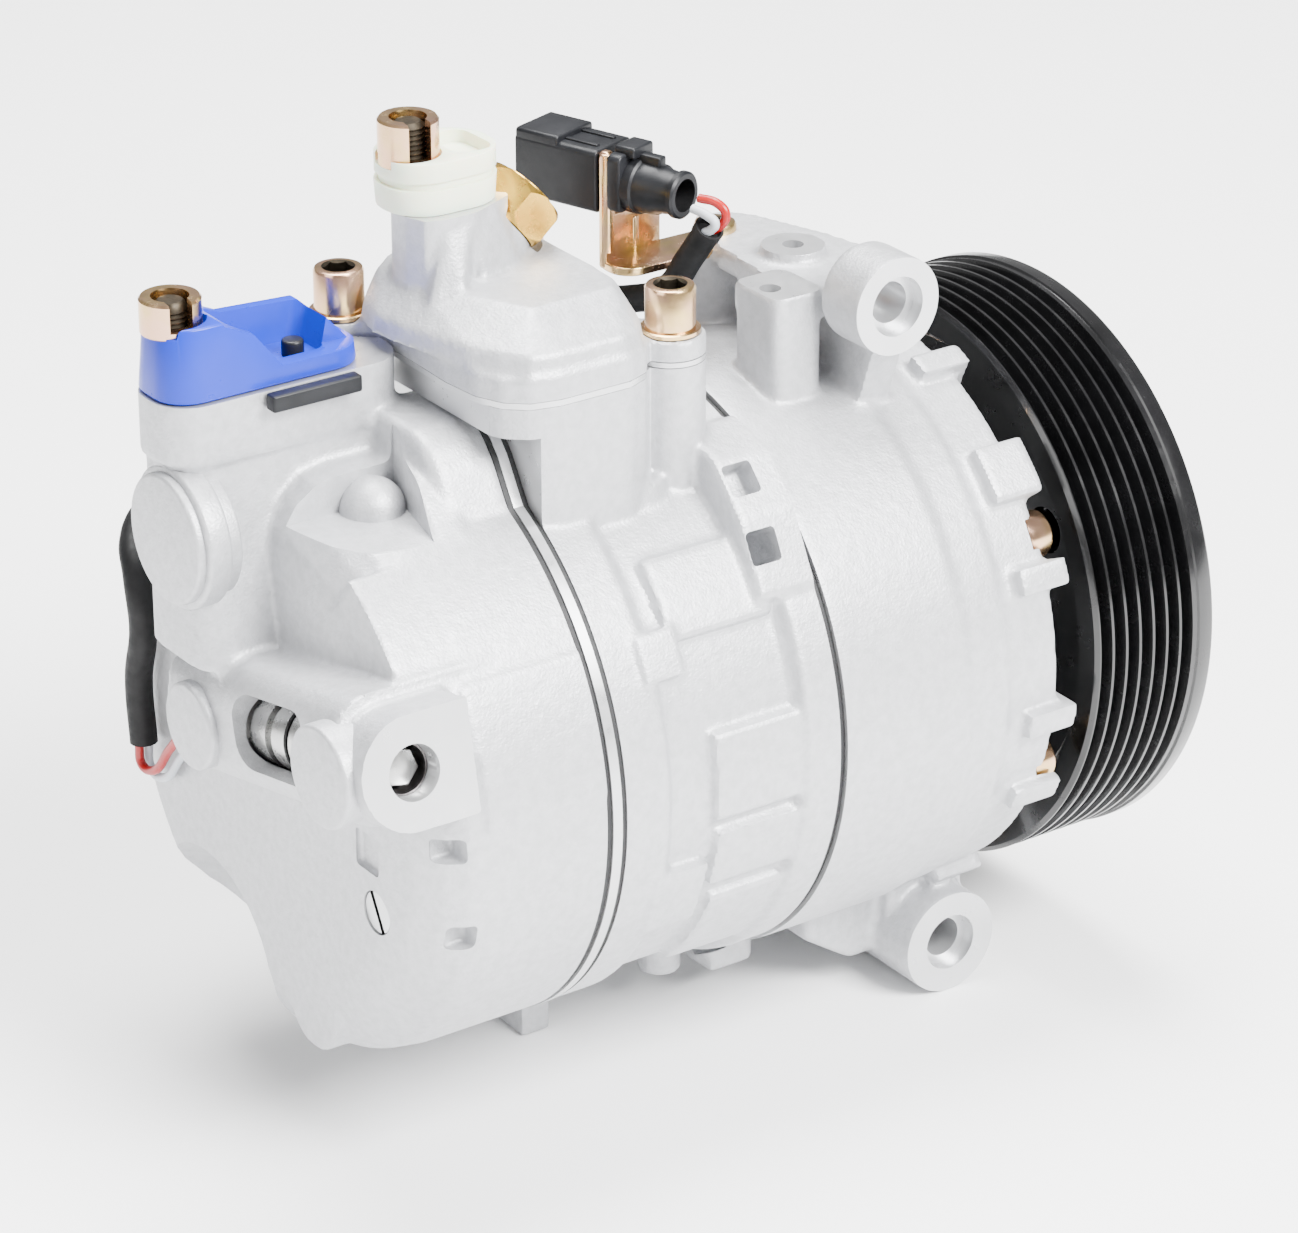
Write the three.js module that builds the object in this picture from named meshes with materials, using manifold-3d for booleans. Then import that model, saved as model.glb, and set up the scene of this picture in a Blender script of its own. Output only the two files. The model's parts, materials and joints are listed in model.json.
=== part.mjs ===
// Car air-conditioning compressor: seven pistons, variable swash plate, seven-groove pulley.
// Millimetres. +X runs along the shaft towards the pulley, +Z is up. The model is built about the
// shaft axis, with x = 0 at the rear joint, and is then moved so that the origin is under its middle.
import * as THREE from 'three';
import { mergeVertices } from 'three/addons/utils/BufferGeometryUtils.js';
import Module from 'manifold-3d';

const wasm = await Module();
wasm.setup();

// ---- driving dimensions ----
const GAP = 0.3;
const FACETING = 0.5;
const HOUSING_R = 61.5;
const FRONT_HOUSING_R = 63.4;
const HEAD_FACE_X = -0.6;
const HEAD_REAR_X = -40;
const BLOCK_X = [4.0, 54.0];
const SEAM_X = [54.3, 55.1];
const FRONT_X = [55.4, 110];
const PISTONS = 7;
const PISTON_PITCH_R = 37;
const PISTON_R = 14;
const PISTON_ANGLE = 34.3;
const BOLT_PITCH_R = 56.5;
const BOLT_ANGLES = [60, 111.4, 162.9, 214.3, 265.7, 317.1];
const SHAFT_R = 8;
const PULLEY_X = [119.6, 150.4];
const PULLEY_R = 62.6;
const HINGE = { x: 83.5, z: 20.5 };
const GROOVES = 7;
const GROOVE_PITCH = 3.56;
const FIRST_GROOVE_X = 122.1;
const VALVE_AXIS = { x: -44, y: -23, z: 17.3, tilt: -11.4 };
const COVER_BASE_Z = 76;
const DISCHARGE = { x: -38.5, y: 7.8, top: 79 };
const SUCTION = { x: 8, y: 8.5, top: 105.5 };
const LUG_FACE_Y = -38;
const UPPER_LUG = { x: 85, z: 80.1, r: 10.2, end: -9, boreEnd: -11 };
const LOWER_LUG = { x: 102.9, z: -67.6, r: 11.4, end: 18, boreEnd: 40 };
const RELIEF = { seat: [27.4, 9.5, 97.2], tilt: 50 };
const BRACKET_SCREW = { x: 81, y: 18 };
const LUG_BORE_R = 4.3;
const MUFFLER = { x: [-3, 37.5], y: [-28, 23], corner: 10 };
const CONNECTOR = { x: 50.8, y: 47, z: 94.8, turn: -71 };
const EXTENT = { x: [-58, 150.4], y: [-64.5, 63.6], z: -79 };

// ---- small geometry tools ----
const rad = THREE.MathUtils.degToRad;
const facets = (sides) => Math.max(8, 2 * Math.round((sides * FACETING) / 2));

function toManifold(geometry) {
  const plain = geometry.clone();
  plain.deleteAttribute('normal');
  plain.deleteAttribute('uv');
  const merged = mergeVertices(plain, 1e-4);
  const position = merged.attributes.position.array;
  let index = Array.from(merged.index.array);
  let volume = 0;
  const a = new THREE.Vector3();
  const b = new THREE.Vector3();
  const c = new THREE.Vector3();
  const kept = [];
  for (let i = 0; i < index.length; i += 3) {
    const [p, q, r] = [index[i], index[i + 1], index[i + 2]];
    if (p === q || q === r || p === r) continue;
    kept.push(p, q, r);
    a.fromArray(position, 3 * p);
    b.fromArray(position, 3 * q);
    c.fromArray(position, 3 * r);
    volume += a.dot(b.cross(c));
  }
  index = kept;
  if (volume < 0) {
    for (let i = 0; i < index.length; i += 3) {
      [index[i + 1], index[i + 2]] = [index[i + 2], index[i + 1]];
    }
  }
  return new wasm.Manifold(new wasm.Mesh({
    numProp: 3,
    vertProperties: new Float32Array(position),
    triVerts: new Uint32Array(index),
  }));
}

function join(first, ...others) {
  return others.reduce((sum, next) => sum.add(next), first);
}

function cut(first, ...others) {
  return others.reduce((rest, next) => rest.subtract(next), first);
}

// A round bar from one point to another; r2 makes it a cone.
function rod(from, to, r, sides = 24, r2 = r) {
  const start = new THREE.Vector3(...from);
  const end = new THREE.Vector3(...to);
  const axis = end.clone().sub(start);
  const shape = new THREE.CylinderGeometry(r2, r, axis.length(), facets(sides));
  shape.applyQuaternion(new THREE.Quaternion().setFromUnitVectors(
    new THREE.Vector3(0, 1, 0), axis.clone().normalize()));
  shape.translate(...start.add(end).multiplyScalar(0.5).toArray());
  return toManifold(shape);
}

function rodX(r, x0, x1, y = 0, z = 0, sides = 24, r2 = r) {
  return rod([x0, y, z], [x1, y, z], r, sides, r2);
}

function rodY(r, y0, y1, x, z, sides = 24, r2 = r) {
  return rod([x, y0, z], [x, y1, z], r, sides, r2);
}

function rodZ(r, z0, z1, x, y, sides = 24, r2 = r) {
  return rod([x, y, z0], [x, y, z1], r, sides, r2);
}

function block(x, y, z) {
  const shape = new THREE.BoxGeometry(x[1] - x[0], y[1] - y[0], z[1] - z[0]);
  shape.translate((x[0] + x[1]) / 2, (y[0] + y[1]) / 2, (z[0] + z[1]) / 2);
  return toManifold(shape);
}

function ball(r, x, y, z, sides = 20) {
  const shape = new THREE.SphereGeometry(r, facets(sides), facets(sides) / 2);
  shape.translate(x, y, z);
  return toManifold(shape);
}

// A profile of [x, radius] pairs turned about the shaft axis.
function turned(profile, sides = 56) {
  const points = profile.map(([x, r]) => new THREE.Vector2(r, x));
  const shape = new THREE.LatheGeometry(points, facets(sides));
  shape.rotateZ(-Math.PI / 2);
  return toManifold(shape);
}

function ring(rIn, rOut, x0, x1, sides = 56) {
  return turned([[x0, rIn], [x0, rOut], [x1, rOut], [x1, rIn], [x0, rIn]], sides);
}

function outline(points) {
  return new THREE.Shape(points.map(([u, v]) => new THREE.Vector2(u, v)));
}

function extruded(points, depth) {
  return new THREE.ExtrudeGeometry(outline(points), { depth, bevelEnabled: false, steps: 1 });
}

// Prisms: an outline in the other two axes, pushed along x, y or z.
function prismX(points, x0, x1) {
  const shape = extruded(points, x1 - x0);
  shape.applyMatrix4(new THREE.Matrix4().makeBasis(
    new THREE.Vector3(0, 1, 0), new THREE.Vector3(0, 0, 1), new THREE.Vector3(1, 0, 0)));
  shape.translate(x0, 0, 0);
  return toManifold(shape);
}

function prismY(points, y0, y1) {
  const shape = extruded(points, y1 - y0);
  shape.applyMatrix4(new THREE.Matrix4().makeBasis(
    new THREE.Vector3(1, 0, 0), new THREE.Vector3(0, 0, 1), new THREE.Vector3(0, -1, 0)));
  shape.translate(0, y1, 0);
  return toManifold(shape);
}

function prismZ(points, z0, z1) {
  const shape = extruded(points, z1 - z0);
  shape.translate(0, 0, z0);
  return toManifold(shape);
}

function roundedRect(u, v, r, steps = 2) {
  const points = [];
  const corners = [[u[1] - r, v[1] - r, 0], [u[0] + r, v[1] - r, 90],
    [u[0] + r, v[0] + r, 180], [u[1] - r, v[0] + r, 270]];
  for (const [cu, cv, start] of corners) {
    for (let i = 0; i <= steps; i += 1) {
      const angle = rad(start + (90 * i) / steps);
      points.push([cu + r * Math.cos(angle), cv + r * Math.sin(angle)]);
    }
  }
  return points;
}

// A block whose sides lean in towards the top, as a cast boss does.
function tapered(bottom, top, z0, z1) {
  const position = [];
  for (const [points, z] of [[bottom, z0], [top, z1]]) {
    for (const [x, y] of points) position.push(x, y, z);
  }
  const n = bottom.length;
  const index = [];
  for (let i = 0; i < n; i += 1) {
    const j = (i + 1) % n;
    index.push(i, j, n + j, i, n + j, n + i);
  }
  for (let i = 1; i < n - 1; i += 1) {
    index.push(0, i + 1, i, n, n + i, n + i + 1);
  }
  const shape = new THREE.BufferGeometry();
  shape.setAttribute('position', new THREE.Float32BufferAttribute(position, 3));
  shape.setIndex(index);
  return toManifold(shape);
}

// Place round the shaft: the angle is measured from straight up towards the near side (-Y).
function around(radius, degrees) {
  return [-radius * Math.sin(rad(degrees)), radius * Math.cos(rad(degrees))];
}

function hexagon(acrossFlats, turn = 0) {
  const r = acrossFlats / 2 / Math.cos(rad(30));
  return [...Array(6).keys()].map((i) => [r * Math.cos(rad(60 * i + turn)), r * Math.sin(rad(60 * i + turn))]);
}

// A tube along points, for leads and sleeves.
function tubeAlong(points, r, steps, sides = 8) {
  const curve = new THREE.CatmullRomCurve3(points.map((p) => new THREE.Vector3(...p)), false, 'centripetal');
  const section = [...Array(sides).keys()].map((i) => {
    const angle = (2 * Math.PI * i) / sides;
    return [r * Math.cos(angle), r * Math.sin(angle)];
  });
  return toManifold(new THREE.ExtrudeGeometry(outline(section), { steps, bevelEnabled: false, extrudePath: curve }));
}

function tiltedSolid(solid, matrix) {
  return toManifold(toGeometry(solid).applyMatrix4(matrix));
}

function toGeometry(solid) {
  const mesh = solid.getMesh();
  const shape = new THREE.BufferGeometry();
  const values = new Float32Array((mesh.vertProperties.length / mesh.numProp) * 3);
  for (let i = 0; i < values.length / 3; i += 1) {
    for (let k = 0; k < 3; k += 1) values[3 * i + k] = mesh.vertProperties[mesh.numProp * i + k];
  }
  shape.setAttribute('position', new THREE.BufferAttribute(values, 3));
  shape.setIndex(new THREE.BufferAttribute(new Uint32Array(mesh.triVerts), 1));
  shape.computeVertexNormals();
  return shape;
}

// ---- materials ----
const finish = (color, roughness, metalness) => () => new THREE.MeshStandardMaterial({ color, roughness, metalness });
const castAluminium = finish(0xd6d8da, 0.55, 0.75);
const machinedAluminium = finish(0xc9cccf, 0.3, 0.9);
const steel = finish(0x9a9da0, 0.35, 0.95);
const darkSteel = finish(0x4a4a4c, 0.4, 0.9);
const yellowZinc = finish(0xcfae62, 0.3, 0.9);
const brass = finish(0xd8b45a, 0.3, 0.95);
const blackPlastic = finish(0x17181a, 0.5, 0.0);
const bluePlastic = finish(0x1e62e0, 0.4, 0.0);
const creamPlastic = finish(0xe8ead0, 0.5, 0.0);
const blackRubber = finish(0x1b1b1b, 0.8, 0.0);
const blackPaint = finish(0x0c0c0d, 0.25, 0.3);
const redInsulation = finish(0xd01818, 0.45, 0.0);
const greyInsulation = finish(0xb8bcc0, 0.45, 0.0);
const pistonCoat = finish(0x3c3f3c, 0.5, 0.4);

const parts = new THREE.Group();

function place(name, solid, material, at = [0, 0, 0], turn = [0, 0, 0]) {
  const mesh = new THREE.Mesh(toGeometry(solid), material());
  mesh.name = name;
  mesh.position.set(...at);
  mesh.rotation.set(...turn.map(rad));
  parts.add(mesh);
  return mesh;
}

// ---- castings ----

// The frame of the control valve's housing, which crosses the rear head at a slight slope.
const valveFrame = new THREE.Matrix4()
  .makeTranslation(VALVE_AXIS.x, VALVE_AXIS.y, VALVE_AXIS.z)
  .multiply(new THREE.Matrix4().makeRotationX(rad(VALVE_AXIS.tilt)));
const alongValve = (solid) => tiltedSolid(solid, valveFrame);

function rearHeadOuter() {
  const shell = turned([[HEAD_FACE_X, 0], [HEAD_FACE_X, HOUSING_R], [-27, HOUSING_R], [-34, 58.5],
    [HEAD_REAR_X + 1, 50], [HEAD_REAR_X, 44], [HEAD_REAR_X, 0]]);
  const hump = prismX([[-39, 40], [-39, 47], [-28.5, 54.5], [-23, 63.5], [-19, 68], [-14, 69.5], [4, 69.5],
    [4, 40]], -12, HEAD_FACE_X);
  const scoop = ball(26, -49, 24, -54);
  const corner = rodX(9, -41, -20, ...around(50, 162.9));
  const tower = tapered(roundedRect([-56, -13], [-8, 17], 6), roundedRect([-56, -8], [-1, 17], 6), 26, 67);
  const flange = prismZ(roundedRect([-58, -5.5], [-2, 17], 8), 66, DISCHARGE.top);
  const towerBoss = rodX(13, -58, -45, 3.5, 51.5, 28);
  const shoulder = prismX([[-56, 18], [-51.4, 33.7], [-40, 46.5], [-24, 56], [-4, 62], [0, 18]], -44, -8);
  return join(cut(shell, scoop), hump, tower, flange, towerBoss, shoulder, corner);
}

function valveHousing() {
  const body = prismY(roundedRect([-12, 30], [-12, 14], 9), -30, 34);
  const nearBoss = rodX(10.2, -12.6, 6, -27, 0, 24);
  const farBoss = rodX(8.7, -12.6, 6, 25, 0, 24);
  const padRound = rodY(11.4, -40, -14, 0, 0, 24);
  const padSquare = block([0, 13], [-40, -14], [-11.4, 11.4]);
  return alongValve(join(body, nearBoss, farBoss, padRound, padSquare));
}

function rearHead() {
  const outer = join(rearHeadOuter(), valveHousing());
  const suctionChamber = ring(26, 46.5, -21, 1, 40);
  const dischargeChamber = rodX(22, -24, 1, 0, 0, 32);
  const dischargePort = rodZ(6.5, 18.6, 90, DISCHARGE.x + 10.5, DISCHARGE.y, 20);
  const studHole = rodZ(3.2, 60, 90, DISCHARGE.x - 13.5, DISCHARGE.y, 12);
  const valveBore = alongValve(rodY(8, -16, 40, 0, 0, 20));
  const sensePort = alongValve(rodY(5.2, -50, -10, 0, 0, 20));
  const window = alongValve(prismX(roundedRect([-14, 12], [-6.5, 9.5], 7), -16, -3));
  const bolts = BOLT_ANGLES.map((a) => rodX(3.3, -22, 1, ...around(BOLT_PITCH_R, a), 12));
  const plugHole = rodX(4.5, -45, -32, -40.7, -14.9, 16);
  const pocket = prismZ([[-38, -20], [-12, -42], [-12, -8], [-13, -4]], 48, 75);
  const dimples = [[-24, -64, 0], [-21, -62, -19], [-45, -38, -2]].map((p) => ball(5.5, ...p, 12));
  const screwRoom = screwLug({ ...COVER_SCREWS[1], r: 7.2 }, 69.7, 90);
  const gasket = block([HEAD_FACE_X, 60], [-90, 90], [-90, 90]);
  const casting = cut(outer, suctionChamber, dischargeChamber, dischargePort, studHole, valveBore,
    sensePort, window, plugHole, pocket, screwRoom, gasket, ...bolts, ...dimples);
  const bump = join(ball(6.5, -20, -9, 53.5, 20), rodZ(6.5, 34, 53.5, -20, -9, 20));
  return join(casting, cut(bump, dischargeChamber, suctionChamber, dischargePort));
}

const EAR_OUTLINE = [[-20, 50], [-20, 57], [-26, 60.5], [-36.8, 57.9], [-46, 48.3], [-53.5, 34], [-46, 28]];
const COVER_SCREWS = [{ x: 39.5, y: -25, r: 7 }, { x: -9, y: 19.5, r: 6.5 }, { x: 36, y: 22.5, r: 6.5 }];
const MUFFLER_ROOM = roundedRect([6, 30], [-19, 14], 7);
const rearHump = [[-36.5, 49], [-28.2, 54.2], [-22.7, 63.6], [-19.3, 67.8], [-14.4, 69.4], [4, 69.4], [4, 30], [-36.5, 30]];

function flangeSolid(r, x0, x1, inner) {
  const disc = join(rodX(r, x0, x1, 0, 0, 56), prismX(rearHump, x0, x1));
  return inner ? cut(disc, rodX(inner, x0 - 1, x1 + 1, 0, 0, 40)) : disc;
}

function boltHoles(solid, r = 3.4) {
  return cut(solid, ...BOLT_ANGLES.map((a) => rodX(r, -60, 130, ...around(BOLT_PITCH_R, a), 12)));
}

function cylinderBlock() {
  const [x0, x1] = BLOCK_X;
  const barrel = turned([[x0, 0], [x0, HOUSING_R], [15, HOUSING_R], [17, 60.4], [45, 60.4], [48, 62.6],
    [x1, 62.6], [x1, 0]]);
  const hump = prismX(rearHump, x0, 14);
  const mufflerWall = prismZ(roundedRect([x0, MUFFLER.x[1]], MUFFLER.y, MUFFLER.corner), 20, COVER_BASE_Z);
  const mufflerPad = prismZ(roundedRect(MUFFLER.x, MUFFLER.y, MUFFLER.corner), 70.2, COVER_BASE_Z);
  const screwBosses = COVER_SCREWS.map((screw) => screwLug(screw, 70.2, COVER_BASE_Z));
  const bossFoot = rodZ(COVER_SCREWS[0].r, 40, 71, COVER_SCREWS[0].x, COVER_SCREWS[0].y, 20);
  const ear = prismX(EAR_OUTLINE, 41, x1);
  const foot = block([17.5, 24.5], [-3.5, 12.5], [EXTENT.z, -50]);
  const stub = rodZ(4.5, -70, -50, 49, -8, 16);
  const outer = join(barrel, hump, mufflerWall, mufflerPad, ...screwBosses, bossFoot, ear, foot, stub);
  const bores = [...Array(PISTONS).keys()].map((i) => rodX(PISTON_R + 0.35, 0, 60,
    ...around(PISTON_PITCH_R, PISTON_ANGLE + (360 / PISTONS) * i), 28));
  const shaftBore = rodX(11.3, 0, 60, 0, 0, 28);
  const mufflerRoom = prismZ(MUFFLER_ROOM, 60, 90);
  const flank = [[88, 8], [122, 7], [150, 6]].map(([a, r]) => rod(
    [19, ...around(66, a)], [42, ...around(66, a)], r, 16));
  const earPockets = [squarePocket([45.5, -40.5, 54], 3.2, 2.5, 46), squarePocket([45, -49.3, 43.2], 3.2, 8, 60)];
  const coverThreads = COVER_SCREWS.map(({ x, y }) => rodZ(3.3, x > 0 ? 62 : 70, 90, x, y, 12));
  return boltHoles(cut(outer, ...bores, shaftBore, mufflerRoom, ...flank, ...earPockets, ...coverThreads));
}

// A square pocket sunk into the ear towards the shaft axis.
function squarePocket(centre, half, depth, lean) {
  const shape = new THREE.BoxGeometry(2 * half, 2 * half, 2 * depth);
  shape.rotateX(rad(lean));
  shape.translate(...centre);
  return toManifold(shape);
}

// The lug round one cover screw, with a web that joins it to the middle of the muffler.
function screwLug({ x, y, r }, z0, z1) {
  const inward = new THREE.Vector2(17 - x, -2.5 - y).normalize();
  const [sx, sy] = [-inward.y * r * 0.85, inward.x * r * 0.85];
  const [ex, ey] = [x + inward.x * 14, y + inward.y * 14];
  const web = [[x + sx, y + sy], [x - sx, y - sy], [ex - sx, ey - sy], [ex + sx, ey + sy]];
  return join(rodZ(r, z0, z1, x, y, 20), prismZ(web, z0, z1));
}

function mufflerCover() {
  const z0 = COVER_BASE_Z + 1.4;
  const flange = prismZ(roundedRect(MUFFLER.x, MUFFLER.y, MUFFLER.corner), z0, 82.1);
  const dome = tapered(roundedRect([-2, 36.5], [-27, 22], 10), roundedRect([-1, 36], [-26, 21], 9), 82, 88);
  const crown = tapered(roundedRect([-1, 36], [-26, 21], 9), roundedRect([6, 29], [-18, 13], 6), 87.9, 94.5);
  const [rx, ry, rz] = RELIEF.seat;
  const outward = (d) => [rx + d * Math.sin(rad(RELIEF.tilt)), ry, rz + d * Math.cos(rad(RELIEF.tilt))];
  const seats = COVER_SCREWS.map((screw) => screwLug(screw, z0, 81.5));
  const neck = tapered(roundedRect([-4.5, 24], [-4, 20], 8), roundedRect([-4, 20], [-1, 18], 7), 84, SUCTION.top);
  const spine = rod([22, 8, 90], [13, 3, 97.5], 6, 14);
  const reliefBoss = rod(outward(-15), outward(0), 8.2, 20);
  const outer = join(flange, dome, crown, neck, spine, reliefBoss, ...seats);
  const room = prismZ(roundedRect([4, 31], [-21, 15], 7), z0 - 1, 88);
  const port = rodZ(6.6, 80, 120, SUCTION.x + 3.5, SUCTION.y, 20);
  const stud = rodZ(3.2, 90, 120, SUCTION.x - 8.5, SUCTION.y, 12);
  const relief = rod(outward(-9), outward(3), 4.4, 12);
  const spotFace = rod(outward(0), outward(14), 9.7, 20);
  const clearHoles = COVER_SCREWS.map(({ x, y }) => rodZ(3.6, 70, 95, x, y, 12));
  const headRoom = COVER_SCREWS.map(({ x, y }) => rodZ(6.2, 81.5, 110, x, y, 20));
  return cut(outer, room, port, stud, relief, spotFace, ...clearHoles, ...headRoom);
}

function mufflerGasket() {
  const z0 = COVER_BASE_Z + GAP;
  const sheet = prismZ(roundedRect(MUFFLER.x, MUFFLER.y, MUFFLER.corner), z0, z0 + 0.8);
  const seats = COVER_SCREWS.map((screw) => screwLug(screw, z0, z0 + 0.8));
  const holes = COVER_SCREWS.map(({ x, y }) => rodZ(3.6, 70, 90, x, y, 12));
  return cut(join(sheet, ...seats), prismZ(MUFFLER_ROOM, z0 - 1, 90), ...holes);
}

function frontHousing() {
  const [x0, x1] = FRONT_X;
  const r = FRONT_HOUSING_R;
  const shell = turned([[x0, 0], [x0, r], [84, r], [97, 61.6], [x1, 61.2], [x1, 24], [112, 17.4], [141.5, 17.4],
    [141.5, 0]]);
  const teeth = [[22, 4], [47.5, 10], [68, 4], [96, 4], [113, 4], [150, 8], [195, 6], [232, 8], [283, 6], [335, 8]]
    .map(([a, w]) => tooth(a, w));
  const pads = [
    prismZ(roundedRect([63.5, 78], [-24, -9], 3), 50, 80.5),
    rodZ(7.6, 45, 76, BRACKET_SCREW.x, BRACKET_SCREW.y, 20),
    prismZ([[63.5, -24], [80, -24], [76, -30], [93, -30], [96, -5], [93, 26], [90, 28], [88, 10], [78, -9],
      [63.5, -9]], 73.5, 80),
    rodZ(6.4, 72, 82, 87.2, -0.4, 20),
    block([82, 93], [-8, 26], [40, 76]),
    block([58, 69], [-14, -4], [-72, -50]),
  ];
  const upperLug = rodY(UPPER_LUG.r, LUG_FACE_Y, UPPER_LUG.end, UPPER_LUG.x, UPPER_LUG.z, 28);
  const upperWeb = prismX([[-26, 50], [-34, 72], [-34, 80], [8, 80], [8, 50]], 83, 91);
  const lowerLug = rodY(LOWER_LUG.r, LUG_FACE_Y, LOWER_LUG.end, LOWER_LUG.x, LOWER_LUG.z, 28);
  const lowerWeb = prismY([[74, -50], [74, -64], [86, -72], [96, -72], [104, -62], [108, -50]], -26, 14);
  const lowerNeck = prismY([[94, -40], [92, -68], [113, -64], [110, -40]], -30, 18);
  const outer = join(shell, ...teeth, ...pads, upperLug, upperWeb, lowerLug, lowerWeb, lowerNeck);
  const chamber = turned([[50, 0], [50, 51.5], [98, 51.5], [102, 46], [102, 0]], 48);
  const bearingSeat = rodX(14.3, 101, 119.3, 0, 0, 28);
  const sealSeat = rodX(12.3, 119, 138, 0, 0, 28);
  const shaftHole = rodX(10, 130, 150, 0, 0, 28);
  const lugBores = [UPPER_LUG, LOWER_LUG].map(({ x, z, boreEnd }) => join(
    rodY(LUG_BORE_R, -60, boreEnd, x, z, 20), rodY(LUG_BORE_R + 1.9, -60, LUG_FACE_Y + 3, x, z, 20)));
  const taps = [rodZ(2.2, 68, 90, 69.3, -17, 12), rodZ(2.2, 70, 90, 87.2, -0.4, 12), rodZ(2.6, 60, 90, BRACKET_SCREW.x, BRACKET_SCREW.y, 12)];
  const heads = BOLT_ANGLES.map((a) => rodX(5.6, 108, 120, ...around(BOLT_PITCH_R, a), 20));
  return boltHoles(cut(outer, chamber, bearingSeat, sealSeat, shaftHole, ...lugBores, ...taps, ...heads));
}

// One lug of the front rim, which stands forward round the bolt heads.
function tooth(angle, width) {
  const points = [];
  const steps = 3;
  for (let i = 0; i <= steps; i += 1) points.push(around(64.6, angle - width / 2 + (width * i) / steps));
  for (let i = steps; i >= 0; i -= 1) points.push(around(54, angle - width / 2 + (width * i) / steps));
  return prismX(points, 104, 113);
}

// ---- joints between the castings ----

function valvePlate() {
  const disc = boltHoles(flangeSolid(HOUSING_R + 0.3, 0.8, 2.6, 0));
  const ports = [...Array(PISTONS).keys()].flatMap((i) => {
    const angle = PISTON_ANGLE + (360 / PISTONS) * i;
    return [rodX(3, 0, 4, ...around(42, angle), 10), rodX(2.4, 0, 4, ...around(27.5, angle), 10)];
  });
  return cut(disc, rodX(3.2, 0, 4, 0, 0, 12), ...ports);
}

// A thin spring-steel star with one tongue for each cylinder.
function reedStar(x0, x1, hub, reach) {
  const tongues = [...Array(PISTONS).keys()].map((i) => {
    const angle = PISTON_ANGLE + (360 / PISTONS) * i;
    const [y0, z0] = around(hub - 3, angle);
    const [y1, z1] = around(reach, angle);
    const [dy, dz] = around(4, angle + 90);
    return join(prismX([[y0 - dy, z0 - dz], [y0 + dy, z0 + dz], [y1 + dy, z1 + dz], [y1 - dy, z1 - dz]],
      x0, x1), rodX(4, x0, x1, y1, z1, 12));
  });
  return cut(join(rodX(hub, x0, x1, 0, 0, 28), ...tongues), rodX(3.2, x0 - 1, x1 + 1, 0, 0, 12));
}

function frontGasket() {
  const [x0, x1] = SEAM_X;
  return boltHoles(ring(52, 62.4, x0, x1, 48));
}

// ---- fasteners ----

// A socket head screw along +X with its head at the far end; the head's underside is at x = 0.
function socketScrew(r, length, headR, headL, socket) {
  const shank = rodX(r, -length, 0.01, 0, 0, 10);
  const head = rodX(headR, 0, headL, 0, 0, 16);
  const drive = prismX(hexagon(socket), headL * 0.4, headL + 1);
  return cut(join(shank, head), drive);
}

// A round slotted nut on a stud: the thread stands up inside the slotted collar.
function slottedStudNut(height) {
  const collar = cut(rodZ(6, 0, height, 0, 0, 20), rodZ(3.6, 1.5, height + 1, 0, 0, 16),
    block([-2.2, 2.2], [-9, 0], [2, height + 1]));
  const stud = rodZ(2.9, -12, height - 1, 0, 0, 14);
  return join(collar, stud);
}

// A blanking cap for a port: a moulded block with a dished top, its plug and a hole for the stud.
function portCap({ u, v, corner, height, port, plugR, stud, dish }) {
  const inset = (range, by) => [range[0] + by, range[1] - by];
  const body = tapered(roundedRect(u, v, corner), roundedRect(inset(u, 1), inset(v, 1), corner - 1), 0, height);
  const hollow = prismZ(roundedRect([stud + 9, u[1] - 3.5], inset(v, 3.5), corner - 3), height - dish, height + 1);
  const plug = rodZ(plugR, -6, 0.5, port, 0, 20);
  return cut(join(cut(body, hollow), plug), rodZ(3.2, -1, height + 1, stud, 0, 14));
}

function reliefValve() {
  const hex = prismZ(hexagon(16), 0.3, 8);
  const dome = rodZ(6.9, 8, 9.2, 0, 0, 18, 6);
  return join(hex, dome, rodZ(3.9, -8, 0.4, 0, 0, 14));
}

function slottedPlug() {
  return cut(rodX(4, 0, 6, 0, 0, 16), block([-1, 1.3], [-0.7, 0.7], [-5, 5]));
}

// ---- running gear ----

function shaft() {
  return turned([[12, 0], [12, 6.5], [13, SHAFT_R - 0.3], [40, SHAFT_R - 0.3], [40.3, SHAFT_R], [128, SHAFT_R],
    [128.3, 7.2], [147, 7.2], [147.3, 4.8], [150, 4.8], [150.4, 4.3], [150.4, 0]], 28);
}

function lugPlate() {
  const disc = turned([[93, SHAFT_R + GAP], [93, 30], [95, 43], [99.3, 43], [99.3, 16], [100.6, 15], [100.6, SHAFT_R + GAP],
    [93, SHAFT_R + GAP]], 40);
  const arms = [-10, 10].map((y) => block([79.5, 94], [y - 3.2, y + 3.2], [14, 25]));
  return cut(join(disc, ...arms), rodY(2.6, -20, 20, HINGE.x, HINGE.z, 12));
}

// The swash plate with its hinge arm; the pin turns in the lug plate's two arms.
function swashPlate() {
  const plate = turned([[66, 11.5], [66, 46], [76, 46], [76, 20], [79, 19], [79, 11.5], [66, 11.5]], 48);
  const arm = block([75, HINGE.x], [-4.6, 4.6], [12.4, 23.5]);
  const eye = rodY(3.4, -4.6, 4.6, HINGE.x, HINGE.z, 14);
  return join(plate, arm, eye, rodY(2.2, -13, 13, HINGE.x, HINGE.z, 12));
}

function guideSleeve() {
  return turned([[58, SHAFT_R + GAP], [58, 10.8], [86, 10.8], [86, SHAFT_R + GAP], [58, SHAFT_R + GAP]], 28);
}

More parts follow.
